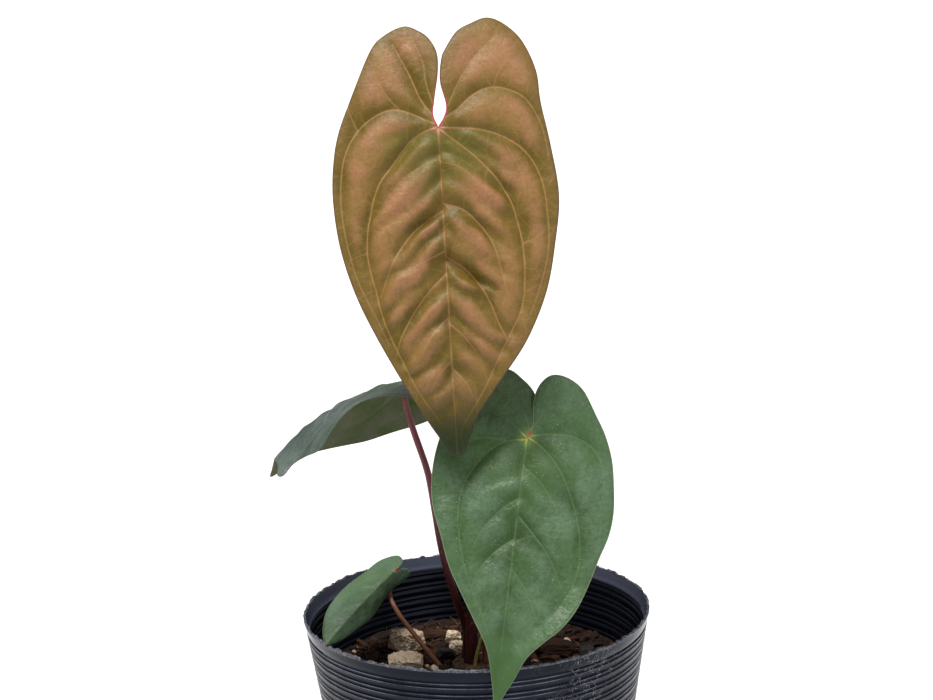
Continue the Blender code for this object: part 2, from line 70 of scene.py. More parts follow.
# Blades, as in the CAD but for the bronze one's slightly wider tip: outlines and veins are
# (across, along) in mm, from the petiole's end, along the midrib. Veins are (depth at the
# start, depth at the end, points), and the depth is that of the crease in mm. quilt is how
# strongly the tissue swells between the creases, folds is the height in mm of the folds
# between the side veins, fold_pitch their distance, and gutter is a margin curled up: (from
# and to along the blade, its width, its height) in mm. Angles are in degrees.
BLADES = {
    "bronze_leaf_blade": {
        "place": (-8.8, -20, 215),
        "angles": (63, -3, 3),
        "length": 135,
        "lobes": 45,
        "half_width": 48,
        "arch": (22, 12),
        "fold": (5, 5),
        "curl": (8, 8),
        "tip_fold": -4,
        "left": [
            (0, 0), (-2, -6), (-1, -13), (1, -24), (1, -33), (-2, -40), (-6, -44),
            (-12, -47), (-20, -44), (-26, -38), (-34, -20), (-41, -3), (-44, 10),
            (-45, 26), (-43, 46), (-38, 65), (-31, 82), (-21, 102), (-11, 120),
            (-5.5, 129), (-3.2, 133.4), (0, 135),
        ],
        "right": [
            (0, 0), (3, -5), (4, -10), (2, -20), (3, -30), (5, -35), (10, -43),
            (16, -47), (23, -50), (30, -47), (37, -39), (42, -25), (43, -11), (46, 8),
            (48, 30), (45, 50), (40, 70), (31, 89), (20, 104), (9.5, 118), (5, 128),
            (3, 133.2), (0, 135),
        ],
        "midrib": (1.6, 0.5),
        "quilt": 2.7, "folds": 1.5, "fold_pitch": 11.5,
        "veins": [
            (1.5, 0.5, [(-1, 0), (-6, 1), (-12, 4), (-19, 12), (-26, 22), (-30, 34),
                        (-32, 50), (-29, 67), (-26, 80), (-20, 95), (-14, 108), (-6, 121)]),
            (1.3, 0.4, [(-2, -2), (-10, -7), (-18, -10), (-26, -8), (-34, -2), (-40, 10),
                        (-42, 27), (-40, 46), (-36, 62), (-30, 76), (-25, 88)]),
            (1.7, 0.5, [(-1, -4), (-7, -14), (-11, -25), (-17, -39)]),
            (1.0, 0.3, [(-1, -8), (-4, -20), (-5, -30), (-9, -41)]),
            (0.8, 0.2, [(-15, -9), (-20, -15), (-24, -23), (-26, -30)]),
            (0.9, 0.2, [(-34, -3), (-37, -12), (-36, -18)]),
            (1.5, 0.5, [(1, 1), (9, 7), (19, 17), (27, 29), (31, 43), (32, 58), (30, 75),
                        (24, 87), (19, 96), (12, 109), (4, 121)]),
            (1.3, 0.4, [(2, 0), (13, 0), (25, 3), (35, 10), (41, 21), (43, 38), (42, 53),
                        (38, 67), (33, 79)]),
            (1.3, 0.4, [(3, -4), (9, -9), (16, -15), (24, -18), (32, -16), (38, -11),
                        (43, 0), (45, 14)]),
            (0.8, 0.3, [(4, -8), (8, -17), (13, -26), (19, -34), (25, -40)]),
            (0.5, 0.2, [(24, -18), (26, -24), (29, -29)]),
            (0.6, 0.2, [(-1, 13), (-8, 16), (-15, 20), (-22, 28)]),
            (1.6, 0.4, [(0, 34), (-5, 37), (-12, 42), (-18, 49), (-23, 58), (-27, 68)]),
            (0.8, 0.2, [(0, 51), (-8, 55), (-19, 60)]),
            (1.9, 0.4, [(0, 60), (-8, 68), (-15, 77), (-20, 86), (-22, 92)]),
            (0.9, 0.2, [(0, 78), (-7, 85), (-12, 93)]),
            (0.7, 0.2, [(0, 96), (-6, 102), (-9, 108)]),
            (0.6, 0.2, [(0, 14), (9, 18), (17, 26)]),
            (1.4, 0.4, [(0, 31), (9, 35), (17, 44), (21, 54), (24, 70)]),
            (2.0, 0.5, [(0, 53), (9, 60), (16, 71), (20, 82), (23, 89)]),
            (1.2, 0.3, [(0, 81), (6, 87), (12, 96)]),
            (0.7, 0.2, [(0, 99), (5, 105), (8, 111)]),
            (0.4, 0.2, [(28, 9), (33, 20), (34, 30)]),
            (0.4, 0.2, [(-32, 50), (-38, 52)]),
            (0.4, 0.2, [(-31, 66), (-37, 69)]),
            (0.4, 0.2, [(32, 50), (38, 47), (42, 44)]),
            (0.4, 0.2, [(31, 70), (37, 67)]),
        ],
    },
    "front_leaf_blade": {
        "place": (23, -47, 90),
        "angles": (59, 15, -18),
        "length": 114,
        "lobes": 30,
        "half_width": 40,
        "arch": (18, 4),
        "fold": (4, 4),
        "curl": (10, 10),
        "tip_fold": -10,
        "lobe_drop": (5, -1),
        "left": [
            (0, 0), (2, -6), (3, -14), (0, -21), (-5, -26), (-11, -30), (-17, -28),
            (-24, -22), (-31, -12), (-35, -1), (-37, 10), (-37, 21), (-35, 32),
            (-30, 44), (-25, 56), (-19, 66), (-12, 77), (-6, 87), (-3, 97), (-1, 106),
            (0, 114),
        ],
        "right": [
            (0, 0), (2, -5), (1, -14), (2, -21), (5, -26), (9, -28), (15, -27),
            (21, -23), (27, -14), (32, -6), (36, 4), (38, 15), (39, 26), (38, 36),
            (35, 46), (32, 57), (28, 68), (23, 76), (17, 82), (11, 89), (7, 98),
            (3, 106), (0, 114),
        ],
        "quilt": 2.4, "folds": 0.45, "fold_pitch": 14, "gutter": (58, 108, 8, 4.2),
        "midrib": (0.8, 0.4),
        "veins": [
            (0.6, 0.2, [(0, 0), (-5, -4), (-11, -8), (-20, -10), (-27, -7)]),
            (0.5, 0.2, [(1, -3), (-3, -12), (-8, -19)]),
            (0.8, 0.3, [(-1, 1), (-7, 2), (-14, 6), (-20, 14), (-24, 25), (-24, 36),
                        (-21, 49), (-16, 62), (-9, 75), (-4, 86)]),
            (0.5, 0.2, [(-8, 2), (-19, 2), (-29, 8), (-32, 20), (-30, 33)]),
            (0.7, 0.2, [(2, -1), (10, -3), (20, -3), (28, 1), (33, 10), (34, 24)]),
            (0.5, 0.2, [(1, -2), (5, -10), (9, -18)]),
            (0.8, 0.3, [(1, 0), (8, 4), (16, 13), (23, 27), (27, 43), (26, 57), (20, 70),
                        (10, 84)]),
            (0.8, 0.2, [(0, 25), (-6, 30), (-13, 39), (-17, 50)]),
            (1.0, 0.3, [(0, 42), (-6, 47), (-12, 55), (-15, 63)]),
            (0.5, 0.2, [(0, 60), (-6, 67), (-9, 75)]),
            (0.6, 0.2, [(0, 12), (8, 18), (15, 27)]),
            (1.1, 0.3, [(1, 33), (8, 40), (15, 48), (21, 59)]),
            (0.6, 0.2, [(0, 54), (7, 62), (12, 72)]),
        ],
    },
    "left_leaf_blade": {
        "place": (-28, 6, 102),
        "angles": (6, -24, -80),
        "length": 70,
        "lobes": 22,
        "half_width": 28,
        "arch": (44, 14),
        "fold": (26, 14),
        "curl": (24, 8),
        "tip_fold": 34,
        "wave": (0, 5),
        "left": [
            (0, 0), (-2, -6), (-6, -14), (-12, -19), (-19, -19), (-25, -14), (-28, -5),
            (-29, 8), (-28, 22), (-24, 34), (-18, 46), (-13, 54), (-10, 60), (-8, 68),
            (-5, 73), (-3, 70), (0, 66),
        ],
        "right": [
            (0, 0), (2, -6), (6, -14), (12, -19), (19, -19), (25, -14), (28, -5),
            (29, 8), (28, 22), (26, 34), (24, 44), (22, 52), (16, 58), (12, 64),
            (11, 71), (8, 72), (5, 68), (0, 66),
        ],
        "quilt": 1.5, "folds": 0.5, "fold_pitch": 9,
        "midrib": (0.6, 0.3),
        "veins": [
            (0.5, 0.2, [(-1, 0), (-8, 4), (-15, 14), (-17, 28), (-13, 42), (-8, 54)]),
            (0.5, 0.2, [(-1, 0), (-10, -3), (-20, 0), (-24, 12), (-23, 26)]),
            (0.5, 0.2, [(-1, -2), (-7, -9), (-14, -13)]),
            (0.5, 0.2, [(1, 0), (8, 4), (15, 14), (18, 28), (17, 42), (12, 54)]),
            (0.5, 0.2, [(1, 0), (10, -3), (20, 0), (24, 12), (24, 28)]),
            (0.5, 0.2, [(1, -2), (7, -9), (14, -13)]),
            (0.5, 0.2, [(0, 20), (-6, 26), (-11, 36)]),
            (0.5, 0.2, [(0, 20), (7, 26), (12, 36)]),
            (0.5, 0.2, [(0, 40), (6, 47)]),
        ],
    },
    "small_leaf_blade": {
        "place": (-36, 33, 7),
        "angles": (13, 28, -33),
        "length": 54,
        "lobes": 13,
        "half_width": 14,
        "arch": (22, 10),
        "fold": (22, 44),
        "curl": (14, 20),
        "tip_fold": 20,
        "left": [
            (0, 0), (0, -5), (-2, -10), (-6, -13), (-9, -11), (-12, -5), (-13, 6),
            (-15, 16), (-15, 26), (-13, 36), (-8, 45), (-3, 51), (0, 54),
        ],
        "right": [
            (0, 0), (2, -6), (4, -9), (6, -10), (7, -8), (7, -2), (6, 7), (7, 17),
            (8, 27), (6, 37), (4, 46), (1, 52), (0, 54),
        ],
        "quilt": 0.8, "folds": 0.3, "fold_pitch": 8,
        "midrib": (0.4, 0.2),
        "veins": [
            (0.35, 0.1, [(-1, 0), (-5, 5), (-9, 15), (-10, 28), (-6, 42)]),
            (0.35, 0.1, [(-1, -1), (-5, -5), (-9, -2), (-11, 8)]),
            (0.3, 0.1, [(1, 0), (3, 8), (4, 20), (4, 34)]),
            (0.3, 0.1, [(0, 14), (-4, 20), (-6, 28)]),
        ],
    },
}
WAVE_LENGTH = 86  # mm along the blade
WAVE_START = 8

# Petioles: the CAD's points (see part.py), radii in mm at the foot and at the blade
PETIOLES = {
    "bronze_leaf_petiole": {
        "foot": (-1.8, -2),
        "radii": (2.0, 1.5),
        "rise": 22,
        "bends": [(0.22, 2.0, 6), (0.48, 3.6, 16), (0.7, 2.6, 18), (0.85, 1.2, 13),
                  (0.95, 0.2, 5)],
    },
    "front_leaf_petiole": {
        "foot": (4.7, -2),
        "radii": (1.8, 1.4),
        "bends": [(0.1, -1.4, 5), (0.3, 0.5, 19), (0.6, 3.5, 34), (0.82, 3.5, 29),
                  (0.94, 1.5, 13)],
    },
    "left_leaf_petiole": {
        "foot": (-4, 5),
        "radii": (1.9, 1.4),
        "bends": [(0.115, 2.6, 0.5), (0.22, 1.5, -1.7), (0.4, 0.6, -2.4), (0.62, 2.2, -1.4),
                  (0.71, 2.4, -0.9), (0.87, 0.4, 0.3)],
    },
    "small_leaf_petiole": {
        "foot": (-11.2, 0),
        "sunk": 11,
        "radii": (1.2, 1.0),
        "bends": [(0.18, 0.6, -4.5), (0.33, -1.3, -4.9), (0.555, -4.5, -3.3),
                  (0.65, -5.4, -3.6), (0.74, -5.8, -2.8), (0.81, -6, 0), (0.91, -3.6, 0.8)],
    },
}
# the young root's path from the crown's top centre, in mm
YOUNG_ROOT = [(-0.5, -7, 0.3), (0, -7, 4), (1, -7, 8), (2.5, -7, 13), (4.4, -5.4, 17)]


# ------------ helpers: materials
class Nodes:
    """A material's node tree, built with short calls."""

    def __init__(self, name):
        self.material = bpy.data.materials.new(name)
        self.material.use_nodes = True
        self.tree = self.material.node_tree
        self.shader = self.tree.nodes["Principled BSDF"]

    def put(self, socket, value):
        """Sets a socket, or links another socket to it."""
        if isinstance(value, bpy.types.NodeSocket):
            self.tree.links.new(value, socket)
        elif isinstance(value, tuple) and len(value) == 3 and socket.type == "RGBA":
            socket.default_value = (*value, 1)
        else:
            socket.default_value = value

    def add(self, kind, inputs=None, **settings):
        """A node with its settings and inputs, by name or index."""
        node = self.tree.nodes.new("ShaderNode" + kind)
        for key, value in settings.items():
            setattr(node, key, value)
        for key, value in (inputs or {}).items():
            self.put(node.inputs[key], value)
        return node

    def attribute(self, name, output="Fac"):
        return self.add("Attribute", attribute_name=name).outputs[output]

    def place(self):
        return self.add("TexCoord").outputs["Object"]

    def math(self, operation, first, second=0.5, clamp=False):
        inputs = {0: first, 1: second}
        return self.add("Math", inputs, operation=operation, use_clamp=clamp).outputs[0]

    def times(self, first, second, clamp=False):
        return self.math("MULTIPLY", first, second, clamp)

    def scaled(self, vector, factors):
        inputs = {0: vector, 1: factors}
        return self.add("VectorMath", inputs, operation="MULTIPLY").outputs[0]

    def noise(self, vector, scale, detail=3.0, roughness=0.5, distortion=0.0):
        inputs = {"Vector": vector, "Scale": scale, "Detail": detail,
                  "Roughness": roughness, "Distortion": distortion}
        return self.add("TexNoise", inputs).outputs["Fac"]

    def cells(self, vector, scale, feature="DISTANCE_TO_EDGE"):
        inputs = {"Vector": vector, "Scale": scale}
        return self.add("TexVoronoi", inputs, feature=feature).outputs["Distance"]

    def warped(self, vector, scale, amount):
        """The vector, strayed by noise."""
        inputs = {"Vector": vector, "Scale": scale, "Detail": 2.0}
        colour = self.add("TexNoise", inputs).outputs["Color"]
        centred = self.add("VectorMath", {0: colour, 1: (0.5, 0.5, 0.5)}, operation="SUBTRACT")
        stray = self.scaled(centred.outputs[0], (amount, amount, amount))
        return self.add("VectorMath", {0: vector, 1: stray}, operation="ADD").outputs[0]

    def span(self, value, low, high, to_low=0.0, to_high=1.0):
        """Maps low..high to to_low..to_high, clamped and eased."""
        inputs = {0: value, 1: low, 2: high, 3: to_low, 4: to_high}
        node = self.add("MapRange", inputs, interpolation_type="SMOOTHSTEP")
        return node.outputs[0]

    def mix(self, factor, first, second):
        inputs = {0: factor, 6: first, 7: second}
        return self.add("Mix", inputs, data_type="RGBA").outputs[2]

    def bump(self, height, strength, distance, under=None):
        inputs = {"Height": height, "Strength": strength, "Distance": distance}
        if under is not None:
            inputs["Normal"] = under
        return self.add("Bump", inputs).outputs["Normal"]

    def finish(self, colour, roughness, normal=None, **constants):
        """Links the shader; constants go straight onto its sockets."""
        self.put(self.shader.inputs["Base Color"], colour)
        self.put(self.shader.inputs["Roughness"], roughness)
        if normal is not None:
            self.put(self.shader.inputs["Normal"], normal)
        for key, value in constants.items():
            self.put(self.shader.inputs[key.replace("_", " ")], value)
        return self.material


# ------------ helpers: meshes
def linked(name, data):
    """A new object of the scene."""
    obj = bpy.data.objects.new(name, data)
    scene.collection.objects.link(obj)
    return obj


def turns(count):
    """Evenly spaced angles of a whole turn, each with its cosine and sine."""
    angles = [2 * pi * step / count for step in range(count)]
    return [(angle, cos(angle), sin(angle)) for angle in angles]


def ring_faces(low, high, around, order=(0, 1, 2, 3)):
    """Quads between two closed rings of points, whose numbers begin at low and high."""
    quads = []
    for step in range(around):
        after = (step + 1) % around
        quad = (low + step, low + after, high + after, high + step)
        quads.append([quad[corner] for corner in order])
    return quads


def cap(first, around, flip=False):
    """One face over a whole ring of points."""
    face = tuple(range(first, first + around))
    return face[::-1] if flip else face


def piece(name, points, faces, material, slot, replaced=(), attributes=None, smooth=True):
    """A mesh piece of the object, on the one body."""
    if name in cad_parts:
        name += "_fine"
    mesh = bpy.data.meshes.new(name)
    mesh.from_pydata([tuple(point) for point in points], [], [tuple(face) for face in faces])
    mesh.materials.append(material)
    for key, values in (attributes or {}).items():
        values = np.array(values, np.float32)
        kind = "FLOAT_VECTOR" if values.ndim == 2 else "FLOAT"
        data = mesh.attributes.new(key, kind, "POINT").data
        data.foreach_set("vector" if values.ndim == 2 else "value", values.ravel())
    mesh.update()
    if smooth:
        mesh.shade_smooth()
    obj = linked(name, mesh)
    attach(obj, "root")
    if replaced:
        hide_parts(*replaced)
    return obj


def through(points, steps):
    """Points along a smooth curve through the given ones (Catmull-Rom)."""
    points = [np.asarray(point, float) for point in points]
    ends = [2 * points[0] - points[1], *points, 2 * points[-1] - points[-2]]
    curve = []
    for before, start, stop, after in zip(ends, ends[1:], ends[2:], ends[3:]):
        for step in range(steps):
            t = step / steps
            curve.append(
                0.5 * (2 * start + (stop - before) * t
                       + (2 * before - 5 * start + 4 * stop - after) * t**2
                       + (3 * start - before - 3 * stop + after) * t**3)
            )
    return np.array([*curve, points[-1]])


def resampled(line, spacing):
    """The polyline with evenly spaced points."""
    steps = np.linalg.norm(np.diff(line, axis=0), axis=1)
    length = np.concatenate([[0], np.cumsum(steps)])
    count = max(2, int(round(length[-1] / spacing)) + 1)
    at = np.linspace(0, length[-1], count)
    return np.stack([np.interp(at, length, line[:, axis]) for axis in range(line.shape[1])], 1)


def line_distance(points, line):
    """Distance of each flat point from a polyline, and the share of its length there."""
    best = np.full(len(points), 1e9)
    share = np.zeros(len(points))
    count = len(line) - 1
    for index in range(count):
        start, step = line[index], line[index + 1] - line[index]
        t = np.clip((points - start) @ step / max(step @ step, 1e-12), 0, 1)
        gap = np.linalg.norm(points - start - t[:, None] * step, axis=1)
        nearer = gap < best
        best[nearer] = gap[nearer]
        share[nearer] = ((index + t) / count)[nearer]
    return best, share


def unit(vectors):
    """The vectors at length 1."""
    return vectors / np.maximum(np.linalg.norm(vectors, axis=-1, keepdims=True), 1e-12)


# ------------ blades
CREASE_WIDTH = 4.6  # mm over which the tissue sinks towards a vein
LINE_WIDTH = 0.23  # mm, half width of a vein's pale line
SKIN = 0.45  # mm, thickness of the tissue between the veins


def surface(leaf, flat, half):
    """The CAD's upper skin at flat coordinates, in mm in the blade's own frame."""
    across, along = flat[:, 0], flat[:, 1]
    side = (-1, 1)[half]
    to_tip = along >= 0
    bend = np.where(to_tip, radians(leaf["arch"][0]) / leaf["length"],
                    radians(leaf["arch"][1]) / leaf["lobes"])
    angle = bend * along
    near_tip = np.clip(along / leaf["length"], 0, 1)
    near_tip = near_tip**2 * (3 - 2 * near_tip)
    fold = np.radians(leaf["fold"][half] * (1 - near_tip) + leaf["tip_fold"] * near_tip)
    curl = radians(leaf["curl"][half]) / leaf["half_width"]
    reach = side * across
    out = (np.sin(fold + curl * reach) - np.sin(fold)) / curl
    drop = (np.cos(fold) - np.cos(fold + curl * reach)) / curl
    drop += leaf.get("lobe_drop", (0, 0))[half] * np.clip(-along / leaf["lobes"], 0, None) ** 1.5
    phase = 2 * pi * (along - WAVE_START) / WAVE_LENGTH
    edge = np.clip(reach / leaf["half_width"], 0, None) ** 1.5
    drop -= leaf.get("wave", (0, 0))[half] * edge * np.sin(phase)
    return np.stack([side * out, -np.sin(angle) / bend + drop * np.sin(angle),
                     -(1 - np.cos(angle)) / bend - drop * np.cos(angle)], 1)


def normals(leaf, flat, half):
    """Unit normals of that skin."""
    step = 0.05
    across = surface(leaf, flat + (step, 0), half) - surface(leaf, flat - (step, 0), half)
    along = surface(leaf, flat + (0, step), half) - surface(leaf, flat - (0, step), half)
    return unit(np.cross(along, across))


class Sower:
    """Accepts points that keep their distance from those before them."""

    def __init__(self, cell):
        self.cell = cell
        self.cells = {}
        self.points = []

    def sow(self, points, gap):
        for x, y in points:
            column, row = floor(x / self.cell), floor(y / self.cell)
            near = [
                other
                for i in (-1, 0, 1)
                for j in (-1, 0, 1)
                for other in self.cells.get((column + i, row + j), ())
            ]
            if all((x - a) ** 2 + (y - b) ** 2 >= gap * gap for a, b in near):
                self.cells.setdefault((column, row), []).append((x, y))
                self.points.append((x, y))


def vein_lines(leaf):
    """The midrib and the veins as (half or None, depths, fine polyline)."""
    lines = [(None, leaf["midrib"], np.array([(0, y) for y in range(leaf["length"] + 1)], float))]
    for first, last, points in leaf["veins"]:
        half = int(sum(x for x, _ in points) > 0)
        lines.append((half, (first, last), resampled(through(points, 6), 0.8)))
    return lines


def half_mesh(leaf, half, lines, cell):
    """Flat points and triangles of half a blade, with rows of points along its veins."""
    outline = resampled(through(leaf[("left", "right")[half]], 6), 0.85 * cell)
    count = int(leaf["length"] / cell)
    last = outline[-1][1]
    midrib = [(0.0, last * (1 - step / count)) for step in range(1, count)]
    ring = [tuple(point) for point in outline] + midrib
    sower = Sower(2 * cell)
    sower.sow(ring, 0)
    rows = []
    for side, _, line in lines:
        if side not in (None, half):
            continue
        tangent = unit(np.gradient(line, axis=0))
        across = np.stack([-tangent[:, 1], tangent[:, 0]], 1)
        offsets = (0, 0.5, -0.5, 1.1, -1.1)[side is None :]
        rows += [(offset, line + across * offset) for offset in offsets]
    for offset, row in sorted(rows, key=lambda item: abs(item[0])):
        sower.sow(row, 0.42 if abs(offset) < 1 else 0.6 * cell)
    low, high = outline.min(0), outline.max(0)
    for row in range(int((high[1] - low[1]) / (0.87 * cell)) + 1):
        xs = np.arange(low[0], high[0], cell) + 0.5 * cell * (row % 2)
        sower.sow([(x, low[1] + 0.87 * cell * row) for x in xs], 0.72 * cell)
    count = len(ring)
    edges = [(index, (index + 1) % count) for index in range(count)]
    points = [Vector(point) for point in sower.points]
    points, _, faces, *_ = geometry.delaunay_2d_cdt(points, edges, [], 1, 1e-6)
    used = sorted({index for face in faces for index in face})
    number = {index: place for place, index in enumerate(used)}
    flat = np.array([tuple(points[index]) for index in used])
    faces = np.array([[number[index] for index in face] for face in faces])
    return flat, faces, np.array(ring)


def vein_relief(flat, half, lines):
    """Depth of the creases in mm, and how much of a vein's line is at each point, 0 to 1."""
    total = np.zeros(len(flat))
    mark = np.zeros(len(flat))
    lobes = np.clip(1 + flat[:, 1] / 4, 0, 1)
    for side, (first, last), line in lines:
        gap, share = line_distance(flat, line)
        depth = first + (last - first) * share
        seen = np.ones(len(flat)) if side in (None, half) else lobes
        soft = np.sqrt(gap**2 + 0.3**2) - 0.3
        total += (seen * depth * np.exp(-soft / CREASE_WIDTH)) ** 3
        width = LINE_WIDTH * (1.35 - 0.75 * share) * (1.5 if side is None else 1)
        strength = np.clip(0.12 + 0.85 * depth, 0, 1)
        mark = np.maximum(mark, seen * strength * np.exp(-((gap / width) ** 2)))
    return total ** (1 / 3), mark


def undulation(leaf, flat, seed):
    """Unevenness of a blade in mm: slow, fine, and folds that run along with the side veins."""
    values = []
    length, width = leaf["length"], leaf["half_width"]
    for x, y in flat:
        slow = noise.noise(Vector((x / 17, y / 17, seed)))
        fine = noise.noise(Vector((x / 6, y / 6, seed + 5)))
        stray = noise.noise(Vector((x / 13, y / 13, seed + 9)))
        turn = 2 * pi * (y - 0.8 * abs(x)) / leaf["fold_pitch"]
        ridge = sin(turn + 1.9 * stray + (x > 0))
        reach = max(0, 1 - (abs(x) / (0.72 * width)) ** 2)
        reach = reach * max(0, min(1, y / 8)) * max(0, min(1, (length - y) / 25))
        share = 0.6 + 0.7 * noise.noise(Vector((x / 15, y / 15, seed + 13)))
        values.append(0.9 * slow + 0.22 * fine + leaf["folds"] * ridge * reach * share)
    return np.array(values)


def relief(leaf, flat, half, lines, edge, seed):
    """How far the skin stands above the CAD's, and the veins' depth and lines, at flat places."""
    sink, mark = vein_relief(flat, half, lines)
    calm = np.clip(edge / 4, 0, 1)
    held = np.clip(np.hypot(flat[:, 0], flat[:, 1]) / 11, 0, 1)
    held = 0.12 + 0.88 * held**2 * (3 - 2 * held)
    height = leaf["quilt"] * (0.45 - sink) * (0.3 + 0.7 * calm)
    height = height + undulation(leaf, flat, seed) * calm
    to_tip = np.clip((leaf["length"] - flat[:, 1]) / 35, 0, 1)
    height = height * held * (0.15 + 0.85 * to_tip)
    if "gutter" in leaf and half == 1:
        # the right margin curls up towards the viewer over this stretch
        start, end, width, rise = leaf["gutter"]
        share = np.clip((flat[:, 1] - start) / (end - start), 0, 1)
        height = height + rise * np.clip(1 - edge / width, 0, 1) ** 1.4 * np.sin(pi * share)
    return height, sink, mark


def rib_height(flat, mark):
    """How far the veins stand out below, in mm."""
    near = np.clip(1 - np.abs(flat[:, 0]) / 1.6, 0, 1) * (flat[:, 1] > 0)
    from_base = np.hypot(flat[:, 0], flat[:, 1])
    return mark * (0.25 + 0.9 * np.exp(-from_base / 60)) + 0.9 * near * np.exp(-flat[:, 1] / 45)


def blade(name, leaf, material, slot, cell, seed):
    """A fine blade in place of the CAD's: creased along its veins, with ribs underneath."""
    lines = vein_lines(leaf)
    values, ups, faces, shared = [], [], [], {}
    for half in (0, 1):
        flat, triangles, ring = half_mesh(leaf, half, lines, cell)
        skin, up = surface(leaf, flat, half), normals(leaf, flat, half)
        edge = line_distance(flat, ring[: len(ring) - int(leaf["length"] / cell) + 1])[0]
        rows = np.column_stack([flat, skin, *relief(leaf, flat, half, lines, edge, seed), edge])
        number = []
        for (x, y), row, normal in zip(flat, rows, up):
            # the two halves share their points on the midrib
            key = round(y, 3) if abs(x) < 1e-5 and y > -1e-5 else (half, x, y)
            if key in shared:
                ups[shared[key]] = ups[shared[key]] + normal
            else:
                shared[key] = len(values)
                values.append(row)
                ups.append(normal)
            number.append(shared[key])
        faces += [[number[index] for index in triangle] for triangle in triangles]
    values, up = np.array(values), unit(np.array(ups))
    flat, skin = values[:, :2], values[:, 2:5]
    height, sink, mark, edge = values[:, 5:].T
    upper = skin + up * height[:, None]
    lower = upper - up * (SKIN + rib_height(flat, mark))[:, None]
    count = len(flat)
    triangles = []
    for a, b, c in faces:
        turned = np.linalg.det([flat[b] - flat[a], flat[c] - flat[a]]) > 0
        triangles.append((a, c, b) if turned else (a, b, c))
    sides = {pair for a, b, c in triangles for pair in ((a, b), (b, c), (c, a))}
    border = dict(sorted(pair for pair in sides if pair[::-1] not in sides))
    rim = {start: place for place, start in enumerate(sorted(border))}
    before = {stop: start for start, stop in border.items()}
    middle = []
    for start in sorted(border):
        tangent = skin[border[start]] - skin[before[start]]
        outward = unit(np.cross(tangent, up[start]))
        middle.append((upper[start] + lower[start]) / 2 + outward * 0.18)
    solid = triangles + [(a + count, c + count, b + count) for a, b, c in triangles]
    for start, stop in border.items():
        a, b = 2 * count + rim[start], 2 * count + rim[stop]
        solid.append((stop, start, a, b))
        solid.append((b, a, start + count, stop + count))
    points = np.concatenate([upper, lower, np.array(middle)]) * MM
    turn = Euler([radians(angle) for angle in leaf["angles"]], "YXZ").to_matrix()
    points = points @ np.array(turn).T + np.array(leaf["place"]) * MM + (0, 0, POT_HEIGHT)

    def doubled(values):
        return np.concatenate([values, values, values[sorted(border)]])

    flat3 = np.concatenate([flat, seed * np.ones((count, 1))], 1) / 10
    attributes = {
        "flat": doubled(flat3),
        "vein": doubled(mark),
        "sink": doubled(sink),
        "rise": doubled(height),
        "edge": doubled(edge),
        "under": np.concatenate([np.zeros(count), np.ones(count), 0.5 * np.ones(len(rim))]),
    }
    return piece(name, points, solid, material, slot, (name,), attributes)


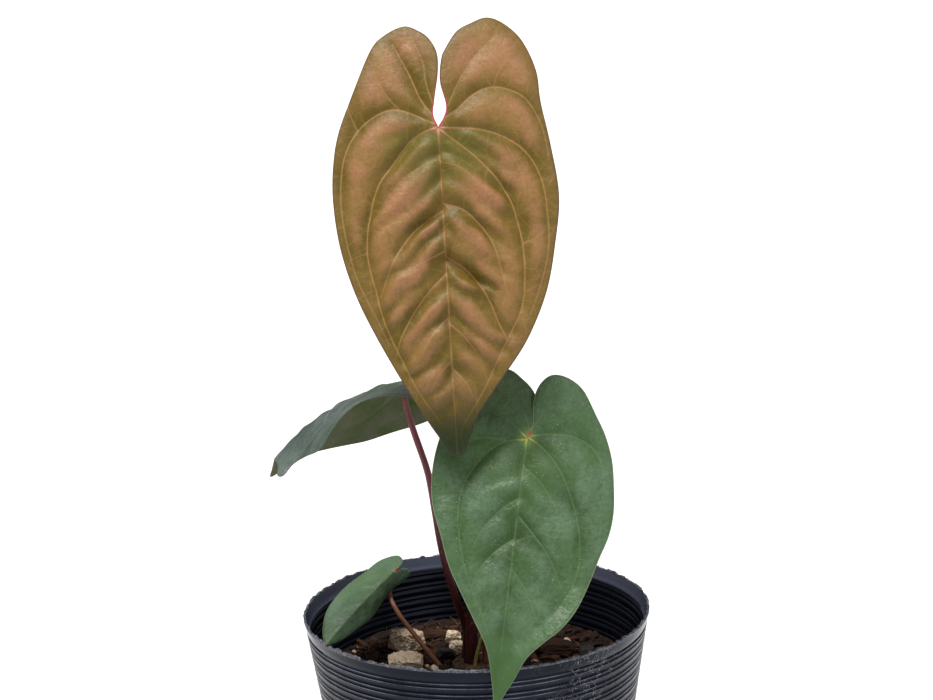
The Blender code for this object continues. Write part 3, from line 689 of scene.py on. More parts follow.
# ------------ leaf materials
def leaf_material(name, look):
    """Leaf tissue: quilted tones, partly painted shade and light, pale veins, a fine net between
    them, margin and underside.
    """
    n = Nodes(name)
    flat = n.attribute("flat", "Vector")
    vein = n.attribute("vein")
    sink = n.attribute("sink")
    edge = n.attribute("edge")
    under = n.attribute("under")
    along = n.add("SeparateXYZ", {0: flat}).outputs[1]
    base_gap = n.add("VectorMath", {0: n.scaled(flat, (1, 1, 0))}, operation="LENGTH").outputs[1]

    blotch = n.noise(flat, 0.9, 4, 0.6)
    fine = n.noise(flat, 7, 5, 0.65)
    # painted shade and light over the relief's own shading, partly the tissue's own tones: darker
    # where the creases sink, paler where the tissue rises
    rise = n.span(n.attribute("rise"), -2.2, 2.0, -0.27, 0.25)
    tone = n.math("ADD", n.times(blotch, 0.62), n.times(sink, -0.12))
    tone = n.math("ADD", tone, rise)
    colour = n.mix(n.span(tone, 0.02, 0.5), look["crease"], look["crest"])
    patches = n.span(n.noise(flat, 0.55, 2), 0.42, 0.62, 0, look["patchy"])
    colour = n.mix(patches, colour, look["patch"])
    colour = n.mix(n.span(fine, 0.35, 0.75, 0, look["mottle"]), colour, look["crease"])
    stain = n.noise(n.warped(flat, 2.5, 0.3), 1.9, 5, 0.7)
    colour = n.mix(n.span(stain, 0.5, 0.72, 0, look["mottle"]), colour, look["crease"])
    streaks = n.noise(n.scaled(flat, (4.5, 0.5, 1)), 1.3, 4, 0.6)
    colour = n.mix(n.span(streaks, 0.45, 0.7, 0, look["streaks"]), colour, look["crease"])
    outer = n.math("MAXIMUM", n.span(edge, 1.0, 9.0, 0.6, 0),
                   n.span(along, 5.0, look["length"], 0, 0.55))
    colour = n.mix(n.times(outer, look["outer_share"]), colour, look["outer"])
    # greener by the petiole, between the first veins
    near_base = n.times(n.span(base_gap, 1.2, 3.4, 1, 0), n.span(along, -0.2, 0.4))
    colour = n.mix(n.times(near_base, look["base_green"]), colour, look["green"])
    tip = n.span(along, look["length"] - look["tip_reach"], look["length"] - 0.6)
    colour = n.mix(tip, colour, look["tip"])
    faded = n.span(tip, 0, 0.9, 1, 0.2)
    vein = n.times(vein, faded)

    # the fine net of veins
    strayed = n.warped(flat, 1.1, 0.22)
    coarse = n.cells(n.scaled(strayed, (1, 0.8, 1)), 1.25)
    small = n.cells(strayed, 4.2)
    net = n.math("MAXIMUM", n.span(coarse, 0.0, 0.05, 1, 0), n.span(small, 0.0, 0.07, 0.45, 0))
    net = n.times(net, faded)
    colour = n.mix(n.times(net, look["net"]), colour, look["net_colour"])
    colour = n.mix(n.times(vein, look["vein_share"], True), colour, look["vein"])
    star = n.times(n.span(base_gap, 0.05, look["star"], 1, 0), n.span(vein, 0.1, 0.6, 0.25, 1))
    colour = n.mix(star, colour, look["star_colour"])
    # margin, red along the notch
    notch = n.times(n.span(edge, 0.0, 0.9, 1, 0), n.span(base_gap, 0.3, look["notch"], 1, 0))
    rim = n.times(n.span(edge, 0.05, 0.32, look["margin_share"], 0), n.span(tip, 0, 1, 1, 0.3))
    colour = n.mix(rim, colour, look["margin"])
    colour = n.mix(notch, colour, look["notch_colour"])
    # dust and specks
    specks = n.cells(flat, 9, "F1")
    rare = n.span(n.noise(flat, 2.3, 3), 0.5, 0.64)
    dust = n.times(n.times(n.span(specks, 0.05, 0.14, 1, 0), rare), look["dust"])
    colour = n.mix(dust, colour, (0.75, 0.78, 0.74))

    # underside: paler veins standing proud
    below = n.mix(n.span(blotch, 0.3, 0.7), look["under"], look["under_2"])
    below = n.mix(n.times(net, 0.25), below, look["under_vein"])
    below = n.mix(n.times(vein, 0.8, True), below, look["under_vein"])
    colour = n.mix(n.span(under, 0.45, 0.75), colour, below)

    rough = n.span(fine, 0.3, 0.75, look["rough"] - 0.05, look["rough"] + 0.1)
    rough = n.math("ADD", rough, n.times(under, 0.15), True)
    grain = n.noise(flat, 55, 3, 0.6)
    normal = n.bump(grain, 0.12, 0.00012)
    normal = n.bump(n.times(net, -1), 0.15, 0.00015, normal)
    normal = n.bump(fine, 0.35, 0.0004, normal)
    normal = n.bump(n.noise(flat, 2.6, 3, 0.55), 0.5, 0.0011, normal)
    return n.finish(colour, rough, normal, Specular_IOR_Level=look["shine"])


# Lengths in the looks are in cm along the blade
bronze = leaf_material("bronze_leaf", {
    "crest": (0.375, 0.174, 0.082), "crease": (0.122, 0.078, 0.007),
    "patch": (0.245, 0.142, 0.030), "patchy": 0.55, "mottle": 0.35, "streaks": 0.0,
    "outer": (0.118, 0.083, 0.008), "outer_share": 1.0, "base_green": 0.7,
    "green": (0.12, 0.11, 0.016), "length": 13.5, "tip_reach": 3.4,
    "tip": (0.013, 0.023, 0.001), "net": 0.17, "net_colour": (0.34, 0.24, 0.06),
    "vein": (0.46, 0.23, 0.095), "vein_share": 0.66, "star": 0.5,
    "star_colour": (0.62, 0.30, 0.20), "notch": 2.6, "notch_colour": (0.42, 0.035, 0.045),
    "margin": (0.075, 0.030, 0.030), "margin_share": 0.75, "dust": 0.0,
    "under": (0.34, 0.17, 0.10), "under_2": (0.24, 0.125, 0.06),
    "under_vein": (0.50, 0.24, 0.15), "rough": 0.47, "shine": 0.28,
})
green_look = {
    "crest": (0.108, 0.180, 0.100), "crease": (0.022, 0.056, 0.009),
    "patch": (0.046, 0.106, 0.026), "patchy": 0.6, "mottle": 0.5, "streaks": 0.15,
    "outer": (0.09, 0.155, 0.08), "outer_share": 0.3, "base_green": 0.3,
    "green": (0.07, 0.13, 0.03), "length": 11.4, "tip_reach": 5.0,
    "tip": (0.045, 0.105, 0.028), "net": 0.16, "net_colour": (0.12, 0.20, 0.09),
    "vein": (0.150, 0.235, 0.100), "vein_share": 0.6, "star": 0.55,
    "star_colour": (0.36, 0.44, 0.08), "notch": 0.36, "notch_colour": (0.35, 0.12, 0.05),
    "margin": (0.26, 0.32, 0.17), "margin_share": 0.55, "dust": 0.8,
    "under": (0.058, 0.085, 0.034), "under_2": (0.085, 0.105, 0.065),
    "under_vein": (0.13, 0.19, 0.075), "rough": 0.42, "shine": 0.33,
}
green = leaf_material("green_leaf", green_look)
# the left blade's paler grey-blue tones, its pale tip among them, are a painted sheen on its upper
# side; its underside keeps its own olive green
sheen_painted_green = leaf_material("green_leaf_left", {
    **green_look, "crest": (0.122, 0.148, 0.146), "patch": (0.060, 0.084, 0.074),
    "crease": (0.026, 0.044, 0.032), "margin": (0.09, 0.11, 0.10), "streaks": 0.8,
    "star": 0.3, "dust": 0.3, "tip": (0.20, 0.23, 0.22), "length": 10.4,
    "under": (0.050, 0.094, 0.012), "under_2": (0.115, 0.118, 0.068),
    "under_vein": (0.09, 0.15, 0.03), "shine": 0.55,
})
plain_green = leaf_material("green_leaf_small", {
    **green_look, "crest": (0.140, 0.215, 0.145), "patch": (0.075, 0.150, 0.070),
    "crease": (0.050, 0.100, 0.045), "star": 0.12, "streaks": 0.4, "dust": 0.1,
    "margin": (0.10, 0.16, 0.08), "length": 5.4, "tip_reach": 1.5, "tip": (0.07, 0.13, 0.06),
})

CELL = 1.15  # mm between the points of a blade
tissues = (bronze, green, sheen_painted_green, plain_green)
for seed, (name, tissue) in enumerate(zip(BLADES, tissues), 1):
    slot = "bronze_leaf" if tissue == bronze else "green_leaf"
    blade(name, BLADES[name], tissue, slot, CELL, seed)


# ------------ stalks
TAIL = 11  # mm of a petiole that runs on below its blade
SIDES = 20


def placed(leaf, local):
    """A point of a blade's own frame, in mm, as a place in metres."""
    turn = Euler([radians(angle) for angle in leaf["angles"]], "YXZ").to_matrix()
    place = Vector(leaf["place"]) * MM + Vector((0, 0, POT_HEIGHT))
    return turn @ (Vector(local) * MM) + place


def petiole_line(name, stalk, number):
    """Path from the crown to the blade, its length in mm at each point, and the radii."""
    leaf = BLADES[name.replace("petiole", "blade")]
    low_radius, high_radius = stalk["radii"]
    foot_x, foot_y = stalk["foot"]
    foot = CROWN_TOP + Vector((foot_x, foot_y, -stalk.get("sunk", 0))) * MM + Vector((0, 0, GAP))
    clearance = (BLADE_THICKNESS / MM + GAP / MM + high_radius) / cos(radians(max(leaf["fold"])))
    head = placed(leaf, (0, -high_radius, -clearance))
    points = [foot]
    if "sunk" not in stalk:
        points.append(foot + Vector((0, 0, stalk.get("rise", 3) * MM)))
    for share, aside_x, aside_y in stalk["bends"]:
        points.append(foot.lerp(head, share) + Vector((aside_x, aside_y, 0)) * MM)
    line = through([*points, head], 12)
    # it runs on below the midrib, and thins out into it
    flat = np.array([(0.0, 3.0), (0.0, 7.0), (0.0, 12.0)])
    height, _, mark = relief(leaf, flat, 1, vein_lines(leaf), 10, number)
    depth = SKIN + rib_height(flat, mark) - height + (0.5, 0.15, 0)
    below = surface(leaf, flat, 1) - normals(leaf, flat, 1) * depth[:, None]
    tail = [placed(leaf, point) for point in below]
    line = np.concatenate([line, through([head, *tail], 5)[1:]])
    line = resampled(line, 1.0 * MM)
    steps = np.linalg.norm(np.diff(line, axis=0), axis=1)
    length = np.concatenate([[0], np.cumsum(steps)]) / MM
    total = length[-1] - TAIL
    share = np.clip(length / total, 0, 1)
    radii = low_radius + (high_radius - low_radius) * share
    radii = radii * (1 + 0.35 * np.exp(-((length / 5) ** 2)))
    knee = np.exp(-(((length - total + 6) / 4.0) ** 2))
    radii = radii * (1 + 0.22 * knee)
    ending = np.clip((length - total) / TAIL, 0, 1)
    radii = radii * (1 - 0.82 * ending**0.8)
    return line, length, radii * MM, share, knee


def tube(line, radii, sides, groove=0.0, seed=0.0):
    """A tube's points, faces and the angle round it at each point."""
    tangents = unit(np.gradient(line, axis=0))
    across = unit(np.cross(tangents[0], (0, 1, 0.2)))
    points, angles = [], []
    for index, (centre, tangent) in enumerate(zip(line, tangents)):
        across = unit(across - tangent * (across @ tangent))
        other = np.cross(tangent, across)
        for angle, x, y in turns(sides):
            lean = (angle + pi) % (2 * pi) - pi
            radius = radii[index] * (1 - groove * np.exp(-((lean / 0.45) ** 2)))
            place = Vector(centre / MM * 0.09) + Vector((x, y, seed))
            radius *= 1 + 0.035 * noise.noise(place * 1.5)
            points.append(centre + radius * (x * across + y * other))
            angles.append(angle)
    last = (len(line) - 1) * sides
    faces = []
    for low in range(0, last, sides):
        faces += ring_faces(low, low + sides, sides)
    faces += [cap(0, sides, True), cap(last, sides)]
    return points, faces, np.array(angles)


def stalk_material(name, low, high, streak, knee, rough):
    """A petiole: colour from foot to blade, lengthwise streaks, pale flecks and a dull knee."""
    n = Nodes(name)
    share, angle, bend = n.attribute("share"), n.attribute("angle"), n.attribute("knee")
    place = n.place()
    ring = n.add("CombineXYZ", {0: n.math("SINE", angle), 1: n.math("COSINE", angle),
                                2: n.times(share, 6.0)}).outputs[0]
    streaks = n.noise(ring, 3.5, 4, 0.6)
    colour = n.mix(n.span(share, 0.05, 0.95), low, high)
    colour = n.mix(n.span(streaks, 0.42, 0.7, 0, 0.75), colour, streak)
    flecks = n.cells(n.scaled(place, (1, 1, 0.35)), 620, "F1")
    pale = tuple(min(1, 3 * c + 0.05) for c in high)
    colour = n.mix(n.span(flecks, 0.08, 0.2, 0.3, 0), colour, pale)
    colour = n.mix(n.times(bend, 0.55), colour, knee)
    colour = n.mix(n.span(n.noise(place, 130, 4), 0.55, 0.75, 0, 0.4), colour, low)
    normal = n.bump(streaks, 0.5, 0.0003)
    normal = n.bump(n.noise(place, 1500, 3), 0.25, 0.0001, normal)
    return n.finish(colour, n.span(streaks, 0.3, 0.7, rough - 0.06, rough + 0.1), normal,
                    Specular_IOR_Level=0.45)


crimson = stalk_material("petiole_crimson", (0.070, 0.018, 0.012), (0.17, 0.022, 0.032),
                         (0.17, 0.035, 0.035), (0.16, 0.06, 0.03), 0.38)
brown_stalk = stalk_material("petiole_brown", (0.13, 0.042, 0.018), (0.26, 0.095, 0.052),
                             (0.36, 0.15, 0.08), (0.20, 0.13, 0.06), 0.5)
for number, (name, stalk) in enumerate(PETIOLES.items()):
    line, length, radii, share, knee = petiole_line(name, stalk, number + 1)
    points, faces, angles = tube(line, radii, SIDES, 0.10, number)
    is_red = name in ("bronze_leaf_petiole", "left_leaf_petiole")
    piece(name, points, faces, crimson if is_red else brown_stalk,
          "petiole_crimson" if is_red else "petiole_brown", (name,),
          {"share": np.repeat(share, SIDES), "knee": np.repeat(knee, SIDES), "angle": angles})

root_look = stalk_material("root_green", (0.24, 0.22, 0.05), (0.30, 0.27, 0.06),
                           (0.36, 0.34, 0.12), (0.25, 0.24, 0.06), 0.42)
line = through([CROWN_TOP + Vector(point) * MM for point in YOUNG_ROOT], 8)
line = np.concatenate([line[:1] - (0, 0, 3 * MM), line])
share = np.linspace(0, 1, len(line))
points, faces, angles = tube(line, (0.82 - 0.22 * share) * MM, 16, 0, 3)
piece("young_root", points, faces, root_look, "root_green", ("young_root",),
      {"share": np.repeat(share, 16), "knee": 0 * angles, "angle": angles})


# ------------ sheath
def sheath():
    """A papery bract wrapped round the bronze leaf's stalk, torn open at the top."""
    around, rows = 96, 26
    bore = 2.35 * MM
    centre = CROWN_TOP + Vector((-1.8, -2, 0)) * MM
    points, faces, share, angles = [], [], [], []
    for skin in (0, 1):
        for row in range(rows + 1):
            t = row / rows
            for step in range(around + 1):
                turn = step / around
                angle = 2 * pi * 1.12 * turn + 2.6
                top = 0.78 + 0.24 * cos(angle + 1.2)
                top += 0.05 * noise.noise((cos(angle) * 4, sin(angle) * 4, 7))
                height = SHEATH_HEIGHT * top * t
                radius = bore + 0.42 * MM * turn + (0.55 * MM if skin == 0 else 0)
                radius += (0.45 * MM * (1 - t) ** 2
                           + 0.5 * MM * max(t - 0.8, 0) * 5 * (0.3 + turn * 0.7))
                radius += 0.07 * MM * sin(angle * 17 + 2 * t) * (1 if skin == 0 else 0)
                radius *= 1 - 0.12 * t
                place = (radius * cos(angle), radius * sin(angle), height - 0.4 * MM)
                points.append(centre + Vector(place))
                share.append(t)
                angles.append(angle)
    width = around + 1
    count = width * (rows + 1)
    for row in range(rows):
        for step in range(around):
            a = row * width + step
            faces.append((a, a + 1, a + 1 + width, a + width))
            faces.append((a + count, a + count + width, a + count + width + 1, a + count + 1))
    for step in range(around):
        a, b = step, rows * width + step
        faces.append((a, a + count, a + count + 1, a + 1))
        faces.append((b, b + 1, b + 1 + count, b + count))
    for row in range(rows):
        a, b = row * width, row * width + around
        faces.append((a, a + width, a + width + count, a + count))
        faces.append((b, b + count, b + width + count, b + width))
    return points, faces, np.array(share), np.array(angles)


maroon = stalk_material("sheath_maroon", (0.040, 0.006, 0.010), (0.075, 0.010, 0.016),
                        (0.12, 0.03, 0.03), (0.10, 0.05, 0.03), 0.36)
points, faces, share, angles = sheath()
piece("cataphyll", points, faces, maroon, "sheath_maroon", ("cataphyll",),
      {"share": share, "knee": np.clip(share * 4 - 3.2, 0, 1), "angle": angles})


# ------------ crown
def crown_cover():
    """The crown's knobbly bark: leaf scars round a low dome over the CAD's crown."""
    around, rows = 72, 22
    points = []
    for row in range(rows + 1):
        t = row / rows
        for angle, *out in turns(around):
            out = Vector(out)
            if t < 0.5:
                radius, height = 10.3 + 0.5 * (1 - 2 * t), -6 + 11.6 * t
            else:
                u = 2 * t - 1
                radius, height = 10.3 * (1 - u**2.2), -0.2 + 1.3 * u
            rings = 0.35 * sin(radius * 2.6 + 0.8 * sin(3 * angle))
            lump = noise.noise((out.x * radius / 3, out.y * radius / 3, height / 3 + 9))
            radius += 0.55 * lump if t < 0.6 else 0
            height += (0.5 * lump + rings * 0.6) if t >= 0.45 else 0
            points.append(CROWN_TOP + Vector((out.x * radius, out.y * radius, height)) * MM)
    faces = []
    for low in range(0, rows * around, around):
        faces += ring_faces(low, low + around, around)
    return points, [*faces, cap(0, around, True)]


def bark_material(name, dark, light, scale, rough=0.85):
    """Cracked bark or mix: two tones, dark cracks, coarse and fine bumps."""
    n = Nodes(name)
    place = n.place()
    coarse = n.noise(place, scale, 6, 0.65)
    cracks = n.cells(n.warped(place, scale, 0.004), scale * 1.6)
    colour = n.mix(n.span(coarse, 0.35, 0.68), dark, light)
    colour = n.mix(n.span(cracks, 0.0, 0.12, 0.7, 0), colour, tuple(0.35 * c for c in dark))
    normal = n.bump(coarse, 0.7, 0.0006)
    normal = n.bump(n.noise(place, scale * 6, 4, 0.7), 0.5, 0.0002, normal)
    return n.finish(colour, rough, normal, Specular_IOR_Level=0.25)


bark = bark_material("root_brown", (0.045, 0.024, 0.012), (0.17, 0.105, 0.05), 320)
piece("crown_bark", *crown_cover(), bark, "root_brown")
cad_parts["rootstock"].data.materials[0] = bark

# ------------ pot
SEGMENTS = 180
BEAD_ROWS = (-1.65, -1.3, -1.0, -0.7, -0.35, 0.35, 0.7, 1.0, 1.3, 1.65)
BEAD_HEIGHT = 0.6 * MM
BEAD_OFFSET = 1.0 * MM  # from the rib's middle to each of its beads
FIRST_RIB = POT_HEIGHT - PLAIN_BAND - 1.6 * MM
WALL = 1.0 * MM
FLOOR_TOP = 1.6 * MM
FOOT_EDGE = ((0.7, 0.3), (2, 0), (7, 0), (8.5, 0.6), (11, 0.7))  # (inset, height) in mm
UNDERSIDE = ((30, 0.7), (12, 0.7), (10, 0.2), (4, 0.2))  # (radius, height) in mm
SCUFFED = (0.046, -0.058, 0.112)  # middle of the scuffed patch
DRAIN_HOLES = 8
DRAIN_RADIUS = 4 * MM
DRAIN_CIRCLE = 38  # mm, radius of the circle that the holes lie on


def wall_radius(height):
    """Outer radius of the pot's wall at this height."""
    return BASE_RADIUS + (RIM_RADIUS - BASE_RADIUS) * height / POT_HEIGHT


def wall_rows():
    """(height, how far the wall stands out) down the wall: two thin beads to a rib."""
    rows = [(POT_HEIGHT - down * MM, BEAD_HEIGHT * share)
            for down, share in ((0.3, 1), (1.2, 0.86), (3.2, 0.75), (4.9, 0.6))]
    centre = FIRST_RIB
    while centre > 1.6 * RIB_PITCH:
        for offset in BEAD_ROWS[::-1]:
            gap = abs(abs(offset) - 1.0)
            rows.append((centre + offset * MM, BEAD_HEIGHT * max(0, 1 - (gap / 0.6) ** 2)))
        centre -= RIB_PITCH
    return rows


def uneven(radius, height, angle):
    """The radius at this height, a little out of round and dented towards the rim."""
    share = height / POT_HEIGHT
    sway = 1 + share * (0.0022 * cos(2 * angle + 0.6) + 0.0016 * cos(3 * angle + 2))
    dent = 0.22 * MM * share * noise.noise((2 * cos(angle), 2 * sin(angle), height / 0.05))
    return radius * sway + dent


def pot_shape():
    """Points and faces of the pot: outer wall, foot, inner wall, all turned about +Z."""
    rows = wall_rows()
    outer = [(wall_radius(height) - BEAD_HEIGHT + proud, height) for height, proud in rows]
    foot = [(wall_radius(6 * MM) - 0.5 * MM, 6 * MM), (wall_radius(3 * MM), 3 * MM),
            (wall_radius(1.2 * MM), 1.2 * MM)]
    foot += [(BASE_RADIUS - inset * MM, height * MM) for inset, height in FOOT_EDGE]
    foot += [(radius * MM, height * MM) for radius, height in UNDERSIDE]
    floor_rows = [(radius * MM, FLOOR_TOP) for radius in (4, 12, 30)]
    floor_rows += [(BASE_RADIUS - 8 * MM, FLOOR_TOP), (BASE_RADIUS - 2.4 * MM, 1.9 * MM),
                   (BASE_RADIUS - 1.3 * MM, 3.5 * MM)]
    inner = [(radius - WALL, height) for radius, height in outer[::-1]]
    profile = outer + foot + floor_rows + inner
    points = []
    for radius, height in profile:
        for angle, x, y in turns(SEGMENTS):
            place = uneven(radius, height, angle)
            points.append((place * x, place * y, height))
    faces = []
    underside = len(outer) + len(foot) - 1
    for row in range(len(profile)):
        if row != underside:
            after = (row + 1) % len(profile)
            faces += ring_faces(row * SEGMENTS, after * SEGMENTS, SEGMENTS, (3, 2, 1, 0))
    low = underside * SEGMENTS
    return points, [*faces, cap(low, SEGMENTS), cap(low + SEGMENTS, SEGMENTS, True)]


def pot_material():
    """Black-blue plastic: scuffs, a painted highlight on the beads and a painted reflection on the
    band inside the rim.
    """
    n = Nodes("pot_black")
    place = n.place()
    height = n.add("SeparateXYZ", {0: place}).outputs[2]
    cloud = n.noise(place, 40, 5, 0.6)
    colour = n.mix(n.span(cloud, 0.35, 0.7), (0.0030, 0.0039, 0.0080), (0.0055, 0.0070, 0.0140))
    outward = n.add("NewGeometry").outputs["Normal"]
    from_axis = n.scaled(place, (1, 1, 0))
    outward = n.add("VectorMath", {0: outward, 1: from_axis}, operation="DOT_PRODUCT").outputs[1]
    # dry splashes and dust, most of them on the front right, outside
    scuffed = n.add("VectorMath", {0: place, 1: SCUFFED}, operation="DISTANCE").outputs[1]
    patch = n.times(n.span(scuffed, 0.008, 0.034, 1, 0), n.span(outward, -0.02, 0.02))
    speck = n.span(n.noise(n.warped(place, 300, 0.004), 620, 6, 0.75), 0.60, 0.72)
    contour = n.math("SUBTRACT", n.noise(n.warped(place, 260, 0.003), 210, 3, 0.6), 0.5)
    strokes = n.span(n.math("ABSOLUTE", contour), 0.0, 0.012, 1, 0)
    strokes = n.times(strokes, n.span(cloud, 0.4, 0.6))
    marks = n.times(n.math("MAXIMUM", speck, strokes), patch)
    faint = n.times(n.span(n.noise(place, 900, 4, 0.7), 0.66, 0.8), 0.18)
    dusty = n.math("MAXIMUM", n.times(marks, 0.7), faint)
    colour = n.mix(dusty, colour, (0.42, 0.42, 0.44))
    # the plain band below the rim is painted paler inside: a painted reflection
    band = n.times(n.span(height, POT_HEIGHT - 7 * MM, POT_HEIGHT - 5.5 * MM),
                   n.span(outward, -0.02, 0, 1, 0))
    colour = n.mix(n.times(band, 0.85), colour, (0.120, 0.133, 0.192))
    # the beads' crests are painted paler: a painted highlight along each bead, fainter on the
    # inner wall
    from_rib = n.math("ADD", height, 0.5 * RIB_PITCH - FIRST_RIB)
    from_rib = n.math("SUBTRACT", n.math("FLOORED_MODULO", from_rib, RIB_PITCH), 0.5 * RIB_PITCH)
    from_bead = n.math("ABSOLUTE", n.math("SUBTRACT", n.math("ABSOLUTE", from_rib), BEAD_OFFSET))
    bead_highlight = n.times(n.span(from_bead, 0.05 * MM, 0.4 * MM, 1, 0),
                     n.span(height, FIRST_RIB + 2 * MM, FIRST_RIB + 3 * MM, 1, 0))
    bead_highlight_breakup = n.noise(n.scaled(place, (1, 1, 0.2)), 55, 4, 0.6)
    bead_highlight = n.times(bead_highlight, n.span(bead_highlight_breakup, 0.36, 0.62, 0.15, 1))
    bead_highlight = n.times(bead_highlight, n.span(outward, -0.02, 0.02, 0.22, 0.75))
    colour = n.mix(bead_highlight, colour, (0.190, 0.205, 0.275))
    rough = n.span(cloud, 0.3, 0.7, 0.15, 0.24)
    rough = n.math("ADD", rough, n.times(dusty, 0.5), True)
    normal = n.bump(n.noise(place, 260, 4, 0.6), 0.12, 0.0006)
    normal = n.bump(n.noise(place, 2400, 3), 0.12, 0.00012, normal)
    return n.finish(colour, rough, normal, Specular_IOR_Level=0.17,
                    Specular_Tint=(0.72, 0.80, 1.0, 1.0))


def drilled(obj):
    """Cuts the drain holes through the pot's floor."""
    mesh = bpy.data.meshes.new("drill")
    bm = bmesh.new()
    for _, x, y in turns(DRAIN_HOLES):
        middle = Vector((x, y, 0)) * DRAIN_CIRCLE * MM
        bmesh.ops.create_cone(bm, cap_ends=True, segments=32, radius1=DRAIN_RADIUS,
                              radius2=DRAIN_RADIUS, depth=8 * MM,
                              matrix=Matrix.Translation(middle))
    bm.to_mesh(mesh)
    bm.free()
    drill = linked("drill", mesh)
    cut = obj.modifiers.new("holes", "BOOLEAN")
    cut.object = drill
    cut.solver = "EXACT"
    bpy.context.view_layer.update()
    graph = bpy.context.evaluated_depsgraph_get()
    holed = bpy.data.meshes.new_from_object(obj.evaluated_get(graph))
    obj.modifiers.clear()
    obj.data = holed
    bpy.data.objects.remove(drill, do_unlink=True)
    holed.set_sharp_from_angle(angle=radians(75))


pot_look = pot_material()
drilled(piece("nursery_pot", *pot_shape(), pot_look, "pot_black", ("nursery_pot",)))


def rim_burr():
    """The rough-cut edge of the rim: a thin lip with small nicks and threads."""
    steps = 1080
    # (out from the rim, up from it) in mm
    ring = [(0.03, -0.9), (0.05, -0.3), (0.02, 0.12), (-0.35, 0.25), (-0.85, 0.2),
            (-1.04, -0.2), (-1.02, -0.9)]
    points = []
    for angle, x, y in turns(steps):
        wave = noise.noise((x * 20, y * 20, 3)) * 1.15 + noise.noise((x * 70, y * 70, 5)) * 0.4
        nick = max(0, noise.noise((x * 48, y * 48, 11)) - 0.28) * 2.2
        for out, rise in ring:
            up = max(0, (rise + 0.9) / 1.15)
            side = 0.2 * noise.noise((x * 60, y * 60, 20 + out))
            side += 0.7 * noise.noise((x * 17, y * 17, 31))
            radius = uneven(RIM_RADIUS, POT_HEIGHT, angle) + (out + side * up) * MM
            height = POT_HEIGHT + (rise + (wave - nick) * up) * MM
            points.append((radius * x, radius * y, height))
    faces = []
    count = len(ring)
    for step in range(steps):
        faces += ring_faces(step * count, (step + 1) % steps * count, count, (0, 3, 2, 1))
    return points, faces


def burr_material():
    """The cut edge: paler and duller than the wall."""
    n = Nodes("pot_rim")
    place = n.place()
    grain = n.noise(place, 900, 4, 0.7)
    colour = n.mix(n.span(grain, 0.4, 0.7), (0.030, 0.032, 0.042), (0.17, 0.175, 0.21))
    return n.finish(colour, 0.55, n.bump(grain, 0.5, 0.0002), Specular_IOR_Level=0.5)


piece("pot_rim_edge", *rim_burr(), burr_material(), "pot_black")


# ------------ potting mix and what lies on it
def ball(level):
    """Unit icosphere: points and faces."""
    bm = bmesh.new()
    bmesh.ops.create_icosphere(bm, subdivisions=level, radius=1.0)
    points = np.array([tuple(vert.co) for vert in bm.verts])
    faces = [tuple(vert.index for vert in face.verts) for face in bm.faces]
    bm.free()
    return points, faces


def mix_height(x, y):
    """Height of the mix's surface in metres: lumps, and a little higher by the wall."""
    place = Vector((x, y, 0)) / 0.012
    lump = noise.noise(place) * 1.3 + noise.noise(place * 2.7 + Vector((5, 0, 0))) * 0.7
    return MIX_TOP + (lump + 0.2 + 1.2 * (Vector((x, y)).length / MIX_RADIUS) ** 6) * MM


def mix_body():
    """The mix as one closed body with a lumpy top."""
    rings, around = 60, 200
    points = [Vector((0, 0, mix_height(0, 0)))]
    for ring in range(1, rings + 1):
        radius = (MIX_RADIUS + 0.15 * MM) * ring / rings
        for _, x, y in turns(around):
            x, y = radius * x, radius * y
            rough = noise.noise((x / 0.0022, y / 0.0022, 1)) * 0.5 * MM
            points.append(Vector((x, y, mix_height(x, y) + rough)))
    low_radius = wall_radius(2 * MM) - 2.6 * MM
    for share in (0.5, 1.0):
        radius = MIX_RADIUS + (low_radius - MIX_RADIUS) * share
        height = MIX_TOP + (FLOOR_TOP + GAP - MIX_TOP) * share
        points += [Vector((radius * x, radius * y, height)) for _, x, y in turns(around)]
    faces = [(0, 1 + step, 1 + (step + 1) % around) for step in range(around)]
    for ring in range(rings + 1):
        low = 1 + ring * around
        faces += ring_faces(low, low + around, around, (0, 3, 2, 1))
    return points, [*faces, cap(low + around, around, True)]


def crumb_material(name, dark, light, grain, rough, pits=0.0, stain=None, shine=0.3):
    """Husk, bark, charcoal or pumice: grain follows each piece's own length."""
    n = Nodes(name)
    own, tone = n.attribute("own", "Vector"), n.attribute("tone")
    fibres = n.noise(n.scaled(own, grain), 1.0, 6, 0.7, 0.6)
    fine = n.noise(own, 3.0, 4, 0.7)
    tone = n.math("ADD", n.times(fibres, 0.6), n.times(tone, 0.4))
    colour = n.mix(n.span(tone, 0.3, 0.68), dark, light)
    normal = n.bump(fibres, 0.8, 0.0005)
    if pits:
        holes = n.cells(n.warped(own, 0.8, 0.8), 1.15, "F1")
        hole = n.span(holes, 0.18, 0.5, 1, 0)
        # the pits are painted darker: painted shade in the holes
        colour = n.mix(n.times(hole, pits), colour, tuple(0.35 * c for c in dark))
        normal = n.bump(n.times(hole, -1), 0.8, 0.0005, normal)
    if stain:
        dirt = n.span(n.noise(own, 0.2, 5, 0.65), 0.56, 0.70)
        colour = n.mix(n.times(dirt, 0.85), colour, stain)
    normal = n.bump(fine, 0.5, 0.0002, normal)
    return n.finish(colour, n.span(fine, 0.3, 0.7, rough - 0.1, rough + 0.05), normal,
                    Specular_IOR_Level=shine)


